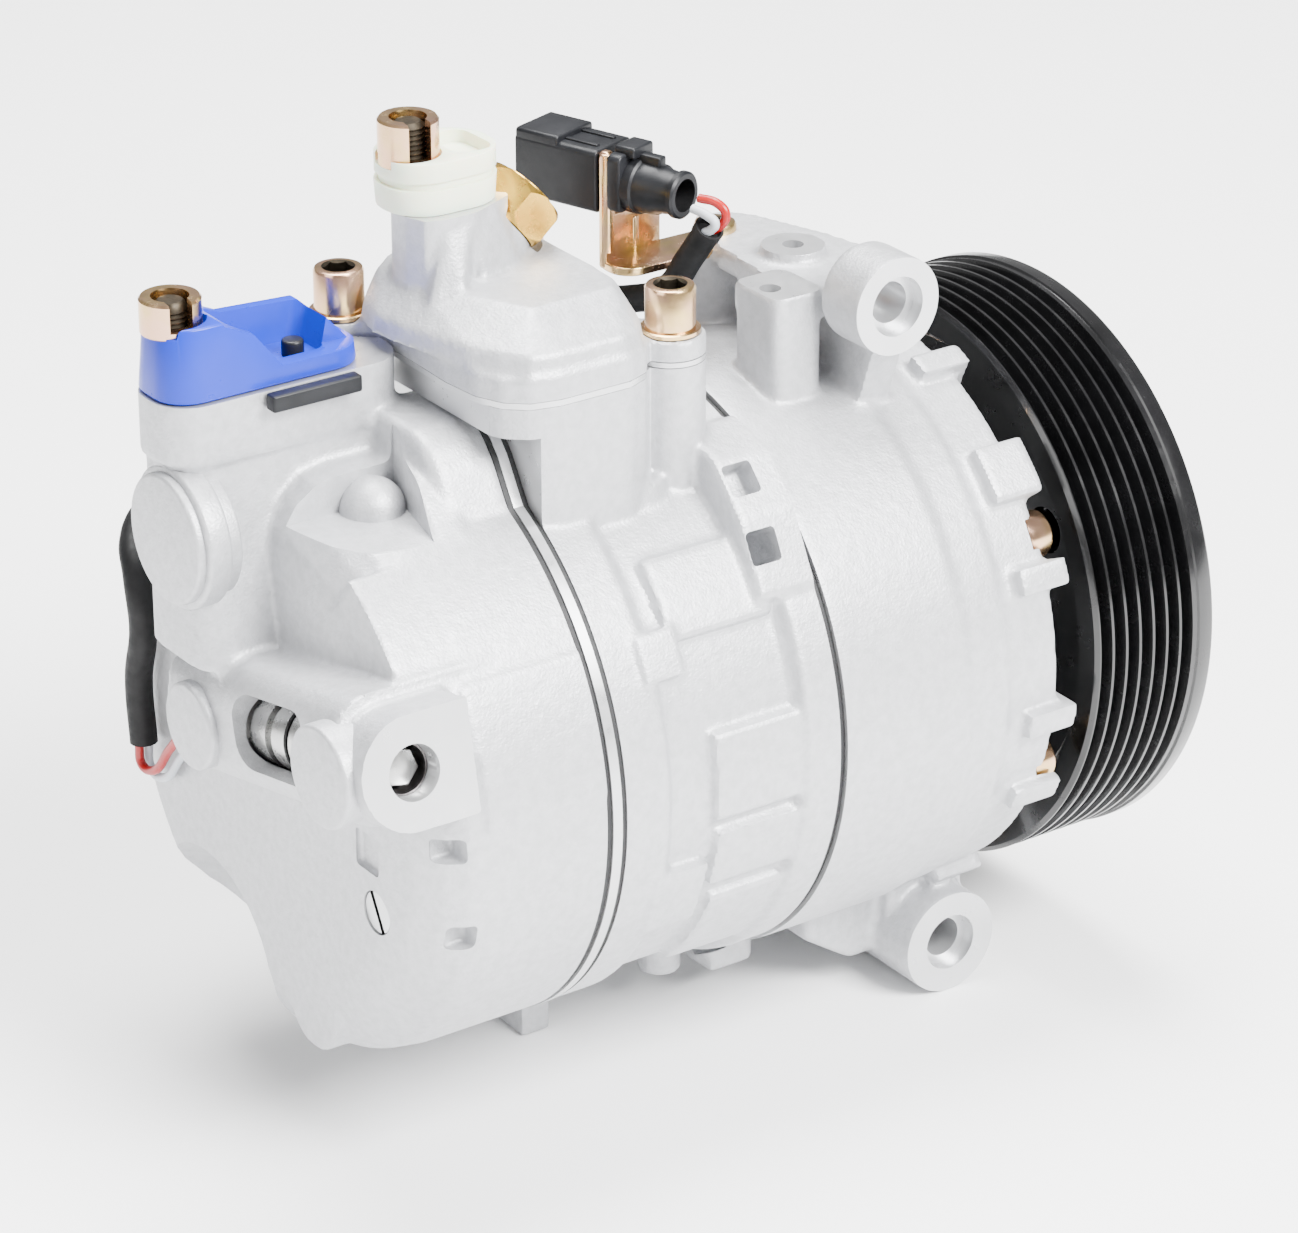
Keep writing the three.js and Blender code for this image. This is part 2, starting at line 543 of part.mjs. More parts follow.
// One turn of the return spring after another, as a tube about the shaft.
function returnSpring() {
  const points = [];
  const turns = 3;
  for (let i = 0; i <= turns * 10; i += 1) {
    const angle = (2 * Math.PI * i) / 10;
    points.push([44.5 + (i * 12.2) / (turns * 10), 9.7 * Math.cos(angle), 9.7 * Math.sin(angle)]);
  }
  return tubeAlong(points, 0.9, 24, 6);
}

// A single-headed piston: its tail bridges the rim of the swash plate, with a shoe on each face.
function piston() {
  const head = turned([[4.7, 0], [4.7, PISTON_R - 0.5], [5.4, PISTON_R - 0.15], [50, PISTON_R - 0.15],
    [50, 0]], 26);
  const relieved = block([16, 38], [-7, 7], [4, 20]);
  const bridge = block([48, 88], [-8, 8], [-5, 13]);
  const round = rodX(PISTON_R - 0.15, 48, 88, 0, 0, 26);
  const slot = block([59.5, 82.5], [-20, 20], [-20, 9.8]);
  const rearShoe = cut(ball(7, 60.5, 0, 0, 14), block([65.6, 90], [-20, 20], [-20, 20]));
  const frontShoe = cut(ball(7, 81.5, 0, 0, 14), block([50, 76.4], [-20, 20], [-20, 20]));
  return join(cut(head, relieved), cut(bridge.intersect(round), slot), rearShoe, frontShoe);
}

function pulley() {
  const root = PULLEY_R - 3.9;
  const crest = PULLEY_R - 0.4;
  const outer = [[PULLEY_X[0], 60.6], [FIRST_GROOVE_X - GROOVE_PITCH / 2, crest]];
  for (let i = 0; i < GROOVES; i += 1) {
    const x = FIRST_GROOVE_X + GROOVE_PITCH * i;
    outer.push([x, root], [x + GROOVE_PITCH / 2, crest]);
  }
  outer.push([146, PULLEY_R], [149.4, PULLEY_R], [PULLEY_X[1], PULLEY_R - 1]);
  const inner = [[PULLEY_X[1], 53.5], [147, 52.5], [133, 52.5], [133, 33], [140, 31.5], [140, 27.2], [123, 27.2],
    [123, 31.5], [126, 34], [126, 52], [PULLEY_X[0], 55.5], [PULLEY_X[0], 60.6]];
  const body = turned([...outer, ...inner], 60);
  const lightening = [...Array(6).keys()].map((i) => rodX(5, 120, 140, ...around(42, 60 * i), 12));
  return cut(body, ...lightening);
}

function bearingOuter() {
  return turned([[124, 25.2], [124, 26.9], [136, 26.9], [136, 25.2], [132.5, 24.4], [127.5, 24.4], [124, 25.2]], 36);
}

function bearingInner() {
  const race = turned([[124, 17.8], [124, 20], [127.5, 20.8], [132.5, 20.8], [136, 20], [136, 17.8],
    [124, 17.8]], 36);
  const balls = ring(20.4, 23.6, 128, 132, 36);
  return join(race, balls);
}

function hub() {
  const boss = ring(7.5, 13, 142, 148, 28);
  const plate = ring(12.5, 33.4, 144.5, 147, 36);
  const studs = [0, 120, 240].map((a) => rodX(2.6, 141.2, 148.6, ...around(30, a), 12));
  return join(boss, plate, ...studs);
}

function damperRing() {
  return ring(34.3, 51.8, 142.6, 148.2, 36);
}

function hubNut() {
  return cut(prismX(hexagon(13), 148.3, 150.2), rodX(5.3, 140, 160, 0, 0, 16));
}

// ---- connector, bracket and leads ----

// A frame whose x axis runs along the connector from its mouth towards the leads.
const connectorFrame = new THREE.Matrix4()
  .makeTranslation(CONNECTOR.x, CONNECTOR.y, CONNECTOR.z)
  .multiply(new THREE.Matrix4().makeRotationZ(rad(CONNECTOR.turn)));
const alongConnector = (solid) => tiltedSolid(solid, connectorFrame);

function connectorHousing() {
  const shell = prismX(roundedRect([-6.2, 6.2], [-6.6, 6.6], 1.6), 3, 25.6);
  const latch = block([4, 20], [-3, 3], [6, 7.6]);
  const mouth = prismX(roundedRect([-5, 5], [-5.3, 5.3], 1), 1, 18);
  const pins = [-2.2, 2.2].map((y) => block([11, 19], [y - 0.5, y + 0.5], [-1, 1]));
  return alongConnector(join(cut(join(shell, latch), mouth), ...pins));
}

function connectorPlug() {
  const collar = prismX(roundedRect([-6, 6], [-5.6, 6.4], 1.4), 28.2, 33.5);
  const tab = block([29, 33], [-3, 3], [6, 7.6]);
  const body = rodX(5.6, 33.4, 38, 0, -0.6, 16);
  const nose = rodX(4.6, 38, 43, 0, -0.6, 16, 4);
  const mouth = rodX(3.1, 40, 44, 0, -0.6, 12);
  return alongConnector(cut(join(collar, tab, body, nose), mouth));
}

function connectorBracket() {
  const plate = alongConnector(prismX([[-4.5, -18.5], [13, -18.5], [13, -9], [-1.5, -9], [-1.5, 5], [-4.5, 5]],
    25.9, 27.9));
  const foot = prismZ(roundedRect([54, 86.5], [12.6, 24], 4), 76.3, 78.2);
  return cut(join(plate, foot), rodZ(2.8, 70, 82, BRACKET_SCREW.x, BRACKET_SCREW.y, 14));
}

// The controlling leads run in a sleeve round the far side, from the plug to the control valve.
const SLEEVE_ROUTE = [[66, 0, 88], [65.2, 4.5, 81.5], [63.6, 11, 72.6], [61, 20, 68.5], [57, 33, 65], [51, 46, 58],
  [38, 55.5, 47.5], [18, 59, 40], [0, 60, 34], [-18, 59.5, 32], [-33, 54.5, 33], [-41, 47, 30.5], [-43.8, 41, 26],
  [-43.8, 39.5, 15], [-43.8, 42.3, 3], [-43.6, 41.8, -11]];
const RED_ROUTE = [[65.8, 2.4, 94.6], [67.6, -1.6, 94.2], [68.4, -3.2, 92.4], [68, -2.6, 90.2], [67, -0.9, 88.5]];
const GREY_ROUTE = [[63.8, 1.8, 93], [65, -1.9, 92.2], [65.6, -3.4, 91], [65.4, -2.6, 89.6], [64.9, -0.9, 88.5]];
const TAIL_RED_ROUTE = [[-44.8, 41.7, -11.4], [-44.8, 41, -15.4], [-44.6, 37.4, -15.6], [-44.4, 30, -8], [-45, 20, 2.6],
  [-45.3, 14, 9]];
const TAIL_GREY_ROUTE = [[-42.6, 41.7, -11.4], [-42.4, 41.4, -17.4], [-42.2, 37.2, -17.8], [-42.1, 30, -10.6],
  [-42.4, 20, 0.4], [-42.7, 14, 8.6]];

function controlValve() {
  const nose = rodY(6.4, -12, -8, 0, 0, 18, 7.4);
  const body = rodY(7.6, -8, 20, 0, 0, 20);
  const waist = rodY(6.6, 19.9, 22.1, 0, 0, 20);
  const coil = rodY(7.6, 22, 36, 0, 0, 20);
  return alongValve(join(nose, body, waist, coil));
}

// ---- the assembly ----
place('rear_head', rearHead(), castAluminium);
place('cylinder_block', cylinderBlock(), castAluminium);
place('front_housing', frontHousing(), castAluminium);
place('muffler_cover', mufflerCover(), castAluminium);
place('rear_head_gasket', boltHoles(flangeSolid(HOUSING_R, -0.3, 0.5, 49.5)), blackRubber);
place('valve_plate', valvePlate(), machinedAluminium);
place('cylinder_gasket', boltHoles(flangeSolid(HOUSING_R, 2.9, 3.7, 49.5)), blackRubber);
place('front_gasket', frontGasket(), blackRubber);
place('muffler_gasket', mufflerGasket(), blackRubber);
place('discharge_reeds', reedStar(0.1, 0.5, 20, 34), steel);
place('suction_reeds', reedStar(2.9, 3.3, 20, 42), steel);

const throughBolt = socketScrew(3, 128, 5, 6, 5);
BOLT_ANGLES.forEach((angle, i) => {
  place(`through_bolt_${i + 1}`, throughBolt, yellowZinc, [108.3, ...around(BOLT_PITCH_R, angle)]);
});
COVER_SCREWS.forEach(({ x, y }, i) => {
  const coverScrew = socketScrew(3, x > 0 ? 17 : 11, 5, 9.4, 5.5);
  place(`cover_screw_${i + 1}`, coverScrew, yellowZinc, [x, y, 81.8], [0, -90, 0]);
});

place('discharge_cap', portCap({ u: [-19, 24.5], v: [-9, 9], corner: 6, height: 11, port: 10.5, plugR: 6.1,
  stud: -13.5, dish: 7 }), bluePlastic, [DISCHARGE.x, DISCHARGE.y, DISCHARGE.top + GAP]);
place('discharge_nut', slottedStudNut(8.5), yellowZinc, [DISCHARGE.x - 13.5, DISCHARGE.y, DISCHARGE.top + 11.6]);
place('cap_clip', block([-38, -19], [-5, -2.4], [75.4, 78.9]), blackPlastic);
place('suction_cap', portCap({ u: [-14.5, 14.5], v: [-10, 10], corner: 7, height: 7.5, port: 3.5, plugR: 6.2,
  stud: -8.5, dish: 1.5 }), creamPlastic, [SUCTION.x, SUCTION.y, SUCTION.top + GAP]);
place('suction_nut', slottedStudNut(9.5), yellowZinc, [SUCTION.x - 8.5, SUCTION.y, SUCTION.top + 8.1]);
place('relief_valve', reliefValve(), brass, RELIEF.seat, [0, RELIEF.tilt, 0]);
place('rear_plug', slottedPlug(), machinedAluminium, [HEAD_REAR_X, -40.7, -14.9]);

place('connector_housing', connectorHousing(), blackPlastic);
place('connector_plug', connectorPlug(), blackPlastic);
place('connector_bracket', connectorBracket(), yellowZinc);
place('bracket_screw', socketScrew(2.3, 12, 4.6, 3.4, 4), yellowZinc, [BRACKET_SCREW.x, BRACKET_SCREW.y, 78.5], [0, -90, 0]);
place('lead_sleeve', tubeAlong(SLEEVE_ROUTE, 2.9, 36, 8), blackRubber);
place('lead_red', tubeAlong(RED_ROUTE, 0.9, 9), redInsulation);
place('lead_grey', tubeAlong(GREY_ROUTE, 0.9, 9), greyInsulation);
place('valve_lead_red', tubeAlong(TAIL_RED_ROUTE, 0.9, 13), redInsulation);
place('valve_lead_grey', tubeAlong(TAIL_GREY_ROUTE, 0.9, 13), greyInsulation);
place('control_valve', controlValve(), steel);

place('pulley', pulley(), blackPaint);
place('bearing_outer_race', bearingOuter(), steel);
place('bearing_inner_race', bearingInner(), steel);
place('bearing_snap_ring', ring(18.1, 20.3, 136.3, 137.6, 30), darkSteel);
place('hub', hub(), blackPaint);
place('damper_ring', damperRing(), blackRubber);
place('hub_nut', hubNut(), darkSteel);
place('shaft', shaft(), steel);
place('shaft_seal', ring(SHAFT_R + GAP, 12, 120, 127.5, 28), blackRubber);
place('front_bearing', ring(SHAFT_R + GAP, 14, 103, 118.5, 28), steel);
place('rear_bearing', ring(SHAFT_R, 11, 14, 34, 28), steel);
place('thrust_bearing', ring(16.5, 26, 99.6, 101.7, 30), steel);
place('lug_plate', lugPlate(), darkSteel);
place('guide_sleeve', guideSleeve(), darkSteel);
place('swash_plate', swashPlate(), steel);
place('return_spring', returnSpring(), darkSteel);
for (let i = 0; i < PISTONS; i += 1) {
  const angle = PISTON_ANGLE + (360 / PISTONS) * i;
  place(`piston_${i + 1}`, piston(), pistonCoat, [0, ...around(PISTON_PITCH_R, angle)], [angle, 0, 0]);
}

// The origin is under the middle of the compressor, on the surface it stands on.
parts.position.set(-(EXTENT.x[0] + EXTENT.x[1]) / 2, -(EXTENT.y[0] + EXTENT.y[1]) / 2, -EXTENT.z);

export default parts;
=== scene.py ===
import json
import math

import bmesh
import bpy
from mathutils import Matrix, Vector


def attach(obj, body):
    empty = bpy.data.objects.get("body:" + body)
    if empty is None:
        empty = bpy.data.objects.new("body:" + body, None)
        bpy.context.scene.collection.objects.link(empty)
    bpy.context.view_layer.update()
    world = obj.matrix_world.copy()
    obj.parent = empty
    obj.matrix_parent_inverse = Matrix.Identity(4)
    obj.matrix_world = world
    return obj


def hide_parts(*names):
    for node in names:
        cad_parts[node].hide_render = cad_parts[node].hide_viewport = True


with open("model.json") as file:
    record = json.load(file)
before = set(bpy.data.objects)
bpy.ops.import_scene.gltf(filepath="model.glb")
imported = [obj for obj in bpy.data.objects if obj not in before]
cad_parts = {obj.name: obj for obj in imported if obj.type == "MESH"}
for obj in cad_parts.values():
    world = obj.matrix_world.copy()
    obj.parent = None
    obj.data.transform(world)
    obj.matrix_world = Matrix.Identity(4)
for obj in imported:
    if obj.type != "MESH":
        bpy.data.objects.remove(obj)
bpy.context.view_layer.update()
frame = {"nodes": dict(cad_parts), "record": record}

bl_info = {
    "name": "Car air-conditioning compressor",
    "version": (1, 0, 0),
    "blender": (4, 5, 0),
    "location": "View3D > Sidebar > Compressor",
    "description": "Builds the looks of a swash-plate compressor over its packed model",
    "category": "Add Mesh",
}

CAMERA_AT = (-0.5178, -0.74835, 0.5145)
CAMERA_AIM = (0.00579, 0.00045, 0.08625)
CAMERA_LENS = 136.7
# Name, place, aim, size in metres and power in watts.
LIGHTS = (("key", (0.35, -1.25, 1.25), (0, 0, 0.1), 0.8, 140),
          ("rear_fill", (-1.5, -0.3, 0.8), (0, 0, 0.08), 0.9, 12),
          ("top", (0.1, 0.4, 1.7), (0, 0, 0.1), 1.1, 100))
WORLD_STRENGTH = 0.46

# Pieces are drawn in millimetres about the shaft, with x = 0 at the rear joint,
# and are put in place once they are finished.
SHAFT_AT = Vector((-0.0462, 0.00045, 0.079))
PLACE = Matrix.Translation(SHAFT_AT) @ Matrix.Scale(0.001, 4)
UPRIGHT = Matrix.Rotation(-math.pi / 2, 4, "Y")

HOUSING_R = 61.5
WAIST_R = 59.5
SEAM_R = 62.8
FRONT_R = 63.4
BOLT_PITCH_R = 56.5
BOLT_SEAT_X = 108.3
BOLT_ANGLES = (60, 111.4, 162.9, 214.3, 265.7, 317.1)
PISTONS = 7
PISTON_ANGLE = 34.3
PISTON_PITCH_R = 37
PISTON_BORE_R = 14.35
CHAMBER_R = 51.5
FIRST_GROOVE_X = 122.1
COVER_SCREWS = ((39.5, -25, 7.0), (-8, 19.5, 6.5), (36, 22.5, 6.5))
SCREW_SEAT_Z = 81.5
DISCHARGE_PORT, DISCHARGE_STUD = (-28, 7.8), (-52, 7.8)
SUCTION_PORT, SUCTION_STUD = (11.9, 7.6), (1.2, 7.6)
BRACKET_SCREW = (81, 18)
TAPPED_POST, TAPPED_BOSS = (69.3, -17), (85.4, -2.8)
TOWER_DISC = (3.5, 51.5)
REAR_PLUG = (-40.7, -14.9)
HEAD_BUMP = (-20, -10.5, 53.4)
WIRE_R = 0.00095
SLEEVE_R = 0.0029
HUMP = [(-39, 38), (-38.5, 47.5), (-28.5, 54.5), (-23, 63.5), (-19, 68), (-14, 69.5), (4, 69.5),
        (4, 38)]
MUFFLER = [(33, -22), (32, -28), (29, -32), (24, -34), (8, -34), (2, -32.5), (-2, -29), (-4.5, -23),
           (-5.2, -14),
           (-4.8, -4), (-4.5, 13), (-2.5, 19), (2, 22.5), (6, 23.5), (28, 23.5), (33, 21), (36, 16),
           (36.5, 8), (36, -10)]
DOME = MUFFLER[:6] + [(-1.5, -28), (-5, -21), (-7.5, -12), (-9.5, -3), (-10.5, 5), (-9, 12),
                      (-5, 17), (1, 21)] + MUFFLER[13:]
DOME_TOP = [(1.5, -5.8), (9, -23), (28, -22.5), (31, -18), (32, 14), (28, 18), (3, 18), (-3, 13),
            (-2, 0)]
NECK = [(-3.4, 2), (-1.6, -2.6), (2, -3.8), (9, -3.8), (19.8, 1), (20.2, 12), (17, 15.4),
        (8, 15.6), (2.5, 14), (-1, 11), (-3.4, 7)]
UPPER_LUG = (85, 80.1, 10.2)
LOWER_LUG = (102.9, -67.6, 11.4)
LUG_FACE_Y = -38
LUG_BORE_R = 4.3
LUG_SLEEVE_R = 6.2
VALVE = Matrix.Translation((-44, -23, 17.3)) @ Matrix.Rotation(math.radians(-11.4), 4, "X")
CONNECTOR = Matrix.Translation((50.8, 47, 94.8)) @ Matrix.Rotation(math.radians(-71), 4, "Z")
RELIEF = Matrix.Translation((22, 8.2, 97.2)) @ Matrix.Rotation(math.radians(50), 4, "Y")

SLEEVE_ROUTE = [
    (66, 0, 88), (65.2, 4.5, 81.5), (63.6, 11, 72.6), (61, 20, 68.5), (57, 33, 65), (51, 46, 58),
    (38, 55.5, 47.5), (18, 59, 40), (0, 60, 34), (-18, 59.5, 32), (-33, 54.5, 33), (-41, 47, 30.5),
    (-43.8, 41, 26), (-43.8, 39.5, 15), (-43.8, 42.3, 3), (-43.6, 41.8, -11)]
RED_ROUTE = [(65.8, 2.4, 94.6), (67.6, -1.6, 94.2), (68.4, -3.2, 92.4), (68, -2.6, 90.2),
             (67, -0.9, 88.5)]
GREY_ROUTE = [(63.8, 1.8, 93), (65, -1.9, 92.2), (65.6, -3.4, 91), (65.4, -2.6, 89.6),
              (64.9, -0.9, 88.5)]
TAIL_RED_ROUTE = [
    (-44.8, 41.7, -11.4), (-44.8, 41, -15.4), (-44.6, 37.4, -15.6), (-44.4, 30, -8), (-45, 20, 2.6),
    (-45.3, 14, 9)]
TAIL_GREY_ROUTE = [
    (-42.6, 41.7, -11.4), (-42.4, 41.4, -17.4), (-42.2, 37.2, -17.8), (-42.1, 30, -10.6),
    (-42.4, 20, 0.4), (-42.7, 14, 8.6)]


# ---------------------------------------------------------------- settings

class CompressorSizes(bpy.types.PropertyGroup):
    pulley_radius: bpy.props.FloatProperty(
        name="Pulley radius", description="Outer radius of the belt pulley, in millimetres",
        default=62.6, min=50, max=64)
    groove_pitch: bpy.props.FloatProperty(
        name="Groove pitch", description="Distance between belt grooves, in millimetres",
        default=3.56, min=2, max=5)
    groove_count: bpy.props.IntProperty(
        name="Grooves", description="Number of belt grooves", default=7, min=1, max=8)
    groove_depth: bpy.props.FloatProperty(
        name="Groove depth", description="Depth of a belt groove, in millimetres",
        default=3.2, min=1, max=3.6)
    casting_grain: bpy.props.FloatProperty(
        name="Casting grain", description="Cell size of the cast surfaces, in millimetres",
        default=0.8, min=0.5, max=3)
    casting_rounding: bpy.props.IntProperty(
        name="Casting rounding", description="How far the cast edges are rounded",
        default=3, min=0, max=30)


class CompressorFinishes(bpy.types.PropertyGroup):
    cast_colour: bpy.props.FloatVectorProperty(
        name="Cast aluminium", description="Colour of the blasted castings", subtype="COLOR",
        size=3, min=0, max=1, default=(0.47, 0.475, 0.49))
    paint_colour: bpy.props.FloatVectorProperty(
        name="Pulley paint", description="Colour of the pulley", subtype="COLOR",
        size=3, min=0, max=1, default=(0.0022, 0.0022, 0.0025))
    cap_colour: bpy.props.FloatVectorProperty(
        name="Discharge cap", description="Colour of the cap on the discharge port",
        subtype="COLOR",
        size=3, min=0, max=1, default=(0.0015, 0.022, 0.44))
    suction_cap_colour: bpy.props.FloatVectorProperty(
        name="Suction cap", description="Colour of the cap on the suction port", subtype="COLOR",
        size=3, min=0, max=1, default=(0.80, 0.84, 0.66))
    zinc_colour: bpy.props.FloatVectorProperty(
        name="Zinc plating", description="Colour of the plated screws and nuts", subtype="COLOR",
        size=3, min=0, max=1, default=(0.70, 0.50, 0.20))


# ---------------------------------------------------------------- materials

def shader_nodes(name):
    material = bpy.data.materials.new(name)
    material.use_nodes = True
    nodes = material.node_tree.nodes
    return material, nodes, material.node_tree.links, nodes["Principled BSDF"]


def noise(nodes, links, scale, detail, rough=0.55):
    place = nodes.new("ShaderNodeTexCoord")
    texture = nodes.new("ShaderNodeTexNoise")
    texture.inputs["Scale"].default_value = scale
    texture.inputs["Detail"].default_value = detail
    texture.inputs["Roughness"].default_value = rough
    links.new(place.outputs["Object"], texture.inputs["Vector"])
    return texture.outputs["Fac"]


def spread(nodes, links, value, low, high):
    remap = nodes.new("ShaderNodeMapRange")
    remap.inputs["From Min"].default_value = 0.3
    remap.inputs["From Max"].default_value = 0.7
    remap.inputs["To Min"].default_value = low
    remap.inputs["To Max"].default_value = high
    links.new(value, remap.inputs["Value"])
    return remap.outputs["Result"]


def between(nodes, links, factor, first, second):
    ramp = nodes.new("ShaderNodeValToRGB")
    ramp.color_ramp.elements[0].color = (*first, 1)
    ramp.color_ramp.elements[1].color = (*second, 1)
    ramp.color_ramp.elements[0].position = 0.35
    ramp.color_ramp.elements[1].position = 0.65
    links.new(factor, ramp.inputs["Fac"])
    return ramp.outputs["Color"]


def raised(nodes, links, shader, height, strength, distance, under=None):
    bump = nodes.new("ShaderNodeBump")
    bump.inputs["Strength"].default_value = strength
    bump.inputs["Distance"].default_value = distance
    links.new(height, bump.inputs["Height"])
    if under is not None:
        links.new(under, bump.inputs["Normal"])
    links.new(bump.outputs["Normal"], shader.inputs["Normal"])
    return bump.outputs["Normal"]


def shaded(colour, factor):
    return tuple(min(1.0, c * factor) for c in colour[:3])


def surface(name, colour, metallic, rough, grain, bump, mottle, mottle_scale,
            second=None, scratches=True, **sockets):
    """A finish with mottled colour, uneven roughness and a grain that shows up close."""
    material, nodes, links, shader = shader_nodes(name)
    shader.inputs["Metallic"].default_value = metallic
    for socket, value in sockets.items():
        shader.inputs[socket.replace("_", " ")].default_value = value
    patches = noise(nodes, links, mottle_scale, 4)
    links.new(between(nodes, links, patches, shaded(colour, mottle), second or colour),
              shader.inputs["Base Color"])
    wear = noise(nodes, links, mottle_scale * 3.1, 5, 0.65)
    links.new(spread(nodes, links, wear, *rough), shader.inputs["Roughness"])
    fine = noise(nodes, links, grain, 2, 0.5)
    first = raised(nodes, links, shader, fine, *bump)
    if scratches:
        coarse = noise(nodes, links, grain * 0.22, 3, 0.6)
        raised(nodes, links, shader, coarse, bump[0] * 0.6, bump[1] * 2.5, first)
    return material


FINISHES = {}


def finish_rows(f):
    """Each slot's colour, metallic, roughness range, grain, bump, mottling and its scale."""
    return {
        "cast_aluminium": (
            tuple(f.cast_colour), 0.5, (0.42, 0.56), 1700, (0.45, 0.00022), 0.92, 500),
        "machined_aluminium": (
            (0.60, 0.605, 0.615), 0.75, (0.26, 0.38), 900, (0.10, 0.00004), 0.95, 90),
        "steel": ((0.56, 0.56, 0.55), 1.0, (0.22, 0.38), 1200, (0.10, 0.00003), 0.8, 120),
        "dark_steel": ((0.16, 0.15, 0.15), 1.0, (0.3, 0.5), 900, (0.15, 0.00004), 0.7, 150),
        # A near-black brown used as painted shade on socket insides, small holes and the stud seen
        # inside its nut.
        "thread_and_recess_shade": ((0.045, 0.036, 0.025), 0.9, (0.35, 0.6), 1500, (0.2, 0.00004), 0.6, 400),
        "yellow_zinc": (
            tuple(f.zinc_colour), 1.0, (0.16, 0.30), 900, (0.08, 0.00003), 0.95, 110),
        "brass": ((0.66, 0.40, 0.07), 1.0, (0.20, 0.34), 900, (0.10, 0.00003), 0.92, 90),
        "black_plastic": (
            (0.006, 0.0065, 0.008), 0.0, (0.34, 0.48), 1600, (0.20, 0.00005), 0.8, 90),
        "blue_plastic": (
            tuple(f.cap_colour), 0.0, (0.26, 0.38), 500, (0.08, 0.00005), 0.92, 60),
        "cream_plastic": (
            tuple(f.suction_cap_colour), 0.0, (0.35, 0.48), 500, (0.08, 0.00005), 0.96, 60),
        "gasket": ((0.015, 0.015, 0.016), 0.2, (0.5, 0.7), 900, (0.2, 0.00005), 0.7, 200),
        "black_rubber": (
            (0.005, 0.005, 0.0055), 0.0, (0.5, 0.7), 1300, (0.35, 0.00008), 0.7, 160),
        "black_paint": (
            tuple(f.paint_colour), 0.0, (0.16, 0.30), 700, (0.06, 0.00004), 0.8, 60),
        "red_insulation": ((0.34, 0.001, 0.001), 0.0, (0.28, 0.42), 900, (0.08, 0.00004), 0.9, 120),
        "grey_insulation": ((0.50, 0.53, 0.57), 0.0, (0.28, 0.42), 900, (0.08, 0.00004), 0.9, 120),
        "piston_coat": ((0.09, 0.10, 0.09), 0.3, (0.35, 0.55), 900, (0.15, 0.00004), 0.8, 120),
    }


def finish_extras(f):
    """What some slots have beyond their row: a second colour, a coat, less shine, some glow."""
    return {
        "cast_aluminium": {"second": shaded(tuple(f.cast_colour), 1.05)},
        "yellow_zinc": {"second": (0.72, 0.44, 0.30)},
        "black_plastic": {"second": (0.010, 0.0105, 0.0125), "Specular_IOR_Level": 0.25},
        "blue_plastic": {"Specular_IOR_Level": 0.3},
        "cream_plastic": {"Subsurface_Weight": 0.35, "Subsurface_Scale": 0.006},
        "black_rubber": {"second": (0.009, 0.009, 0.0095), "Specular_IOR_Level": 0.2},
        "black_paint": {"second": (0.0035, 0.0035, 0.004), "Coat_Weight": 0.3},
    }


def make_finishes(f):
    extras = finish_extras(f)
    for name, row in finish_rows(f).items():
        FINISHES[name] = surface(name, *row, **extras.get(name, {}))


# ---------------------------------------------------------------- shaping tools

def around(radius, degrees):
    """(y, z) on a circle about the shaft, from straight up towards the near side."""
    turn = math.radians(degrees)
    return -radius * math.sin(turn), radius * math.cos(turn)


def rounded(u, v, r, steps=6):
    """Outline of a rectangle with round corners."""
    corners = ((u[1] - r, v[1] - r, 0), (u[0] + r, v[1] - r, 90),
               (u[0] + r, v[0] + r, 180), (u[1] - r, v[0] + r, 270))
    outline = []
    for cu, cv, start in corners:
        for i in range(steps + 1):
            turn = math.radians(start + 90 * i / steps)
            outline.append((cu + r * math.cos(turn), cv + r * math.sin(turn)))
    return outline


def sector(r_in, r_out, first, last, x0, x1):
    """A slice of a ring about the shaft, between two angles."""
    turns = [first + (last - first) * i / 24 for i in range(25)]
    outline = [around(r_out, a) for a in turns] + [around(r_in, a) for a in reversed(turns)]
    return prism(outline, "X", x0, x1)


def facing_out(bm):
    bmesh.ops.remove_doubles(bm, verts=bm.verts, dist=0.0005)
    bmesh.ops.recalc_face_normals(bm, faces=bm.faces)
    return bm


def only_verts(geom):
    return [g for g in geom if isinstance(g, bmesh.types.BMVert)]


def sharp_edges(bm, angle=30):
    limit = math.radians(angle)
    return [e for e in bm.edges if len(e.link_faces) == 2 and e.calc_face_angle(0) > limit]


def soften(bm, size, edges=None):
    bmesh.ops.bevel(bm, geom=edges or sharp_edges(bm), offset=size, offset_type="OFFSET",
                    segments=3, profile=0.5, affect="EDGES", material=-1, clamp_overlap=True)
    return bm


def moved(bm, matrix):
    bmesh.ops.transform(bm, matrix=matrix, verts=bm.verts)
    return bm


def together(*pieces):
    """All the pieces in one bmesh."""
    whole = pieces[0]
    for piece in pieces[1:]:
        mesh = bpy.data.meshes.new("piece")
        piece.to_mesh(mesh)
        piece.free()
        whole.from_mesh(mesh)
        bpy.data.meshes.remove(mesh)
    return whole


def bar(r, start, end, r2=None, sides=72, soft=0.0):
    start, end = Vector(start), Vector(end)
    axis = end - start
    bm = bmesh.new()
    turn = axis.to_track_quat("Z", "Y").to_matrix().to_4x4()
    bmesh.ops.create_cone(bm, cap_ends=True, cap_tris=False, segments=sides, radius1=r,
                          radius2=r if r2 is None else r2, depth=axis.length,
                          matrix=Matrix.Translation((start + end) / 2) @ turn)
    return soften(bm, soft) if soft else bm


def bar_x(r, x0, x1, y=0, z=0, r2=None, sides=72, soft=0.0):
    return bar(r, (x0, y, z), (x1, y, z), r2, sides, soft)


def bar_y(r, y0, y1, x, z, r2=None, sides=72, soft=0.0):
    return bar(r, (x, y0, z), (x, y1, z), r2, sides, soft)


def bar_z(r, z0, z1, x, y, r2=None, sides=72, soft=0.0):
    return bar(r, (x, y, z0), (x, y, z1), r2, sides, soft)


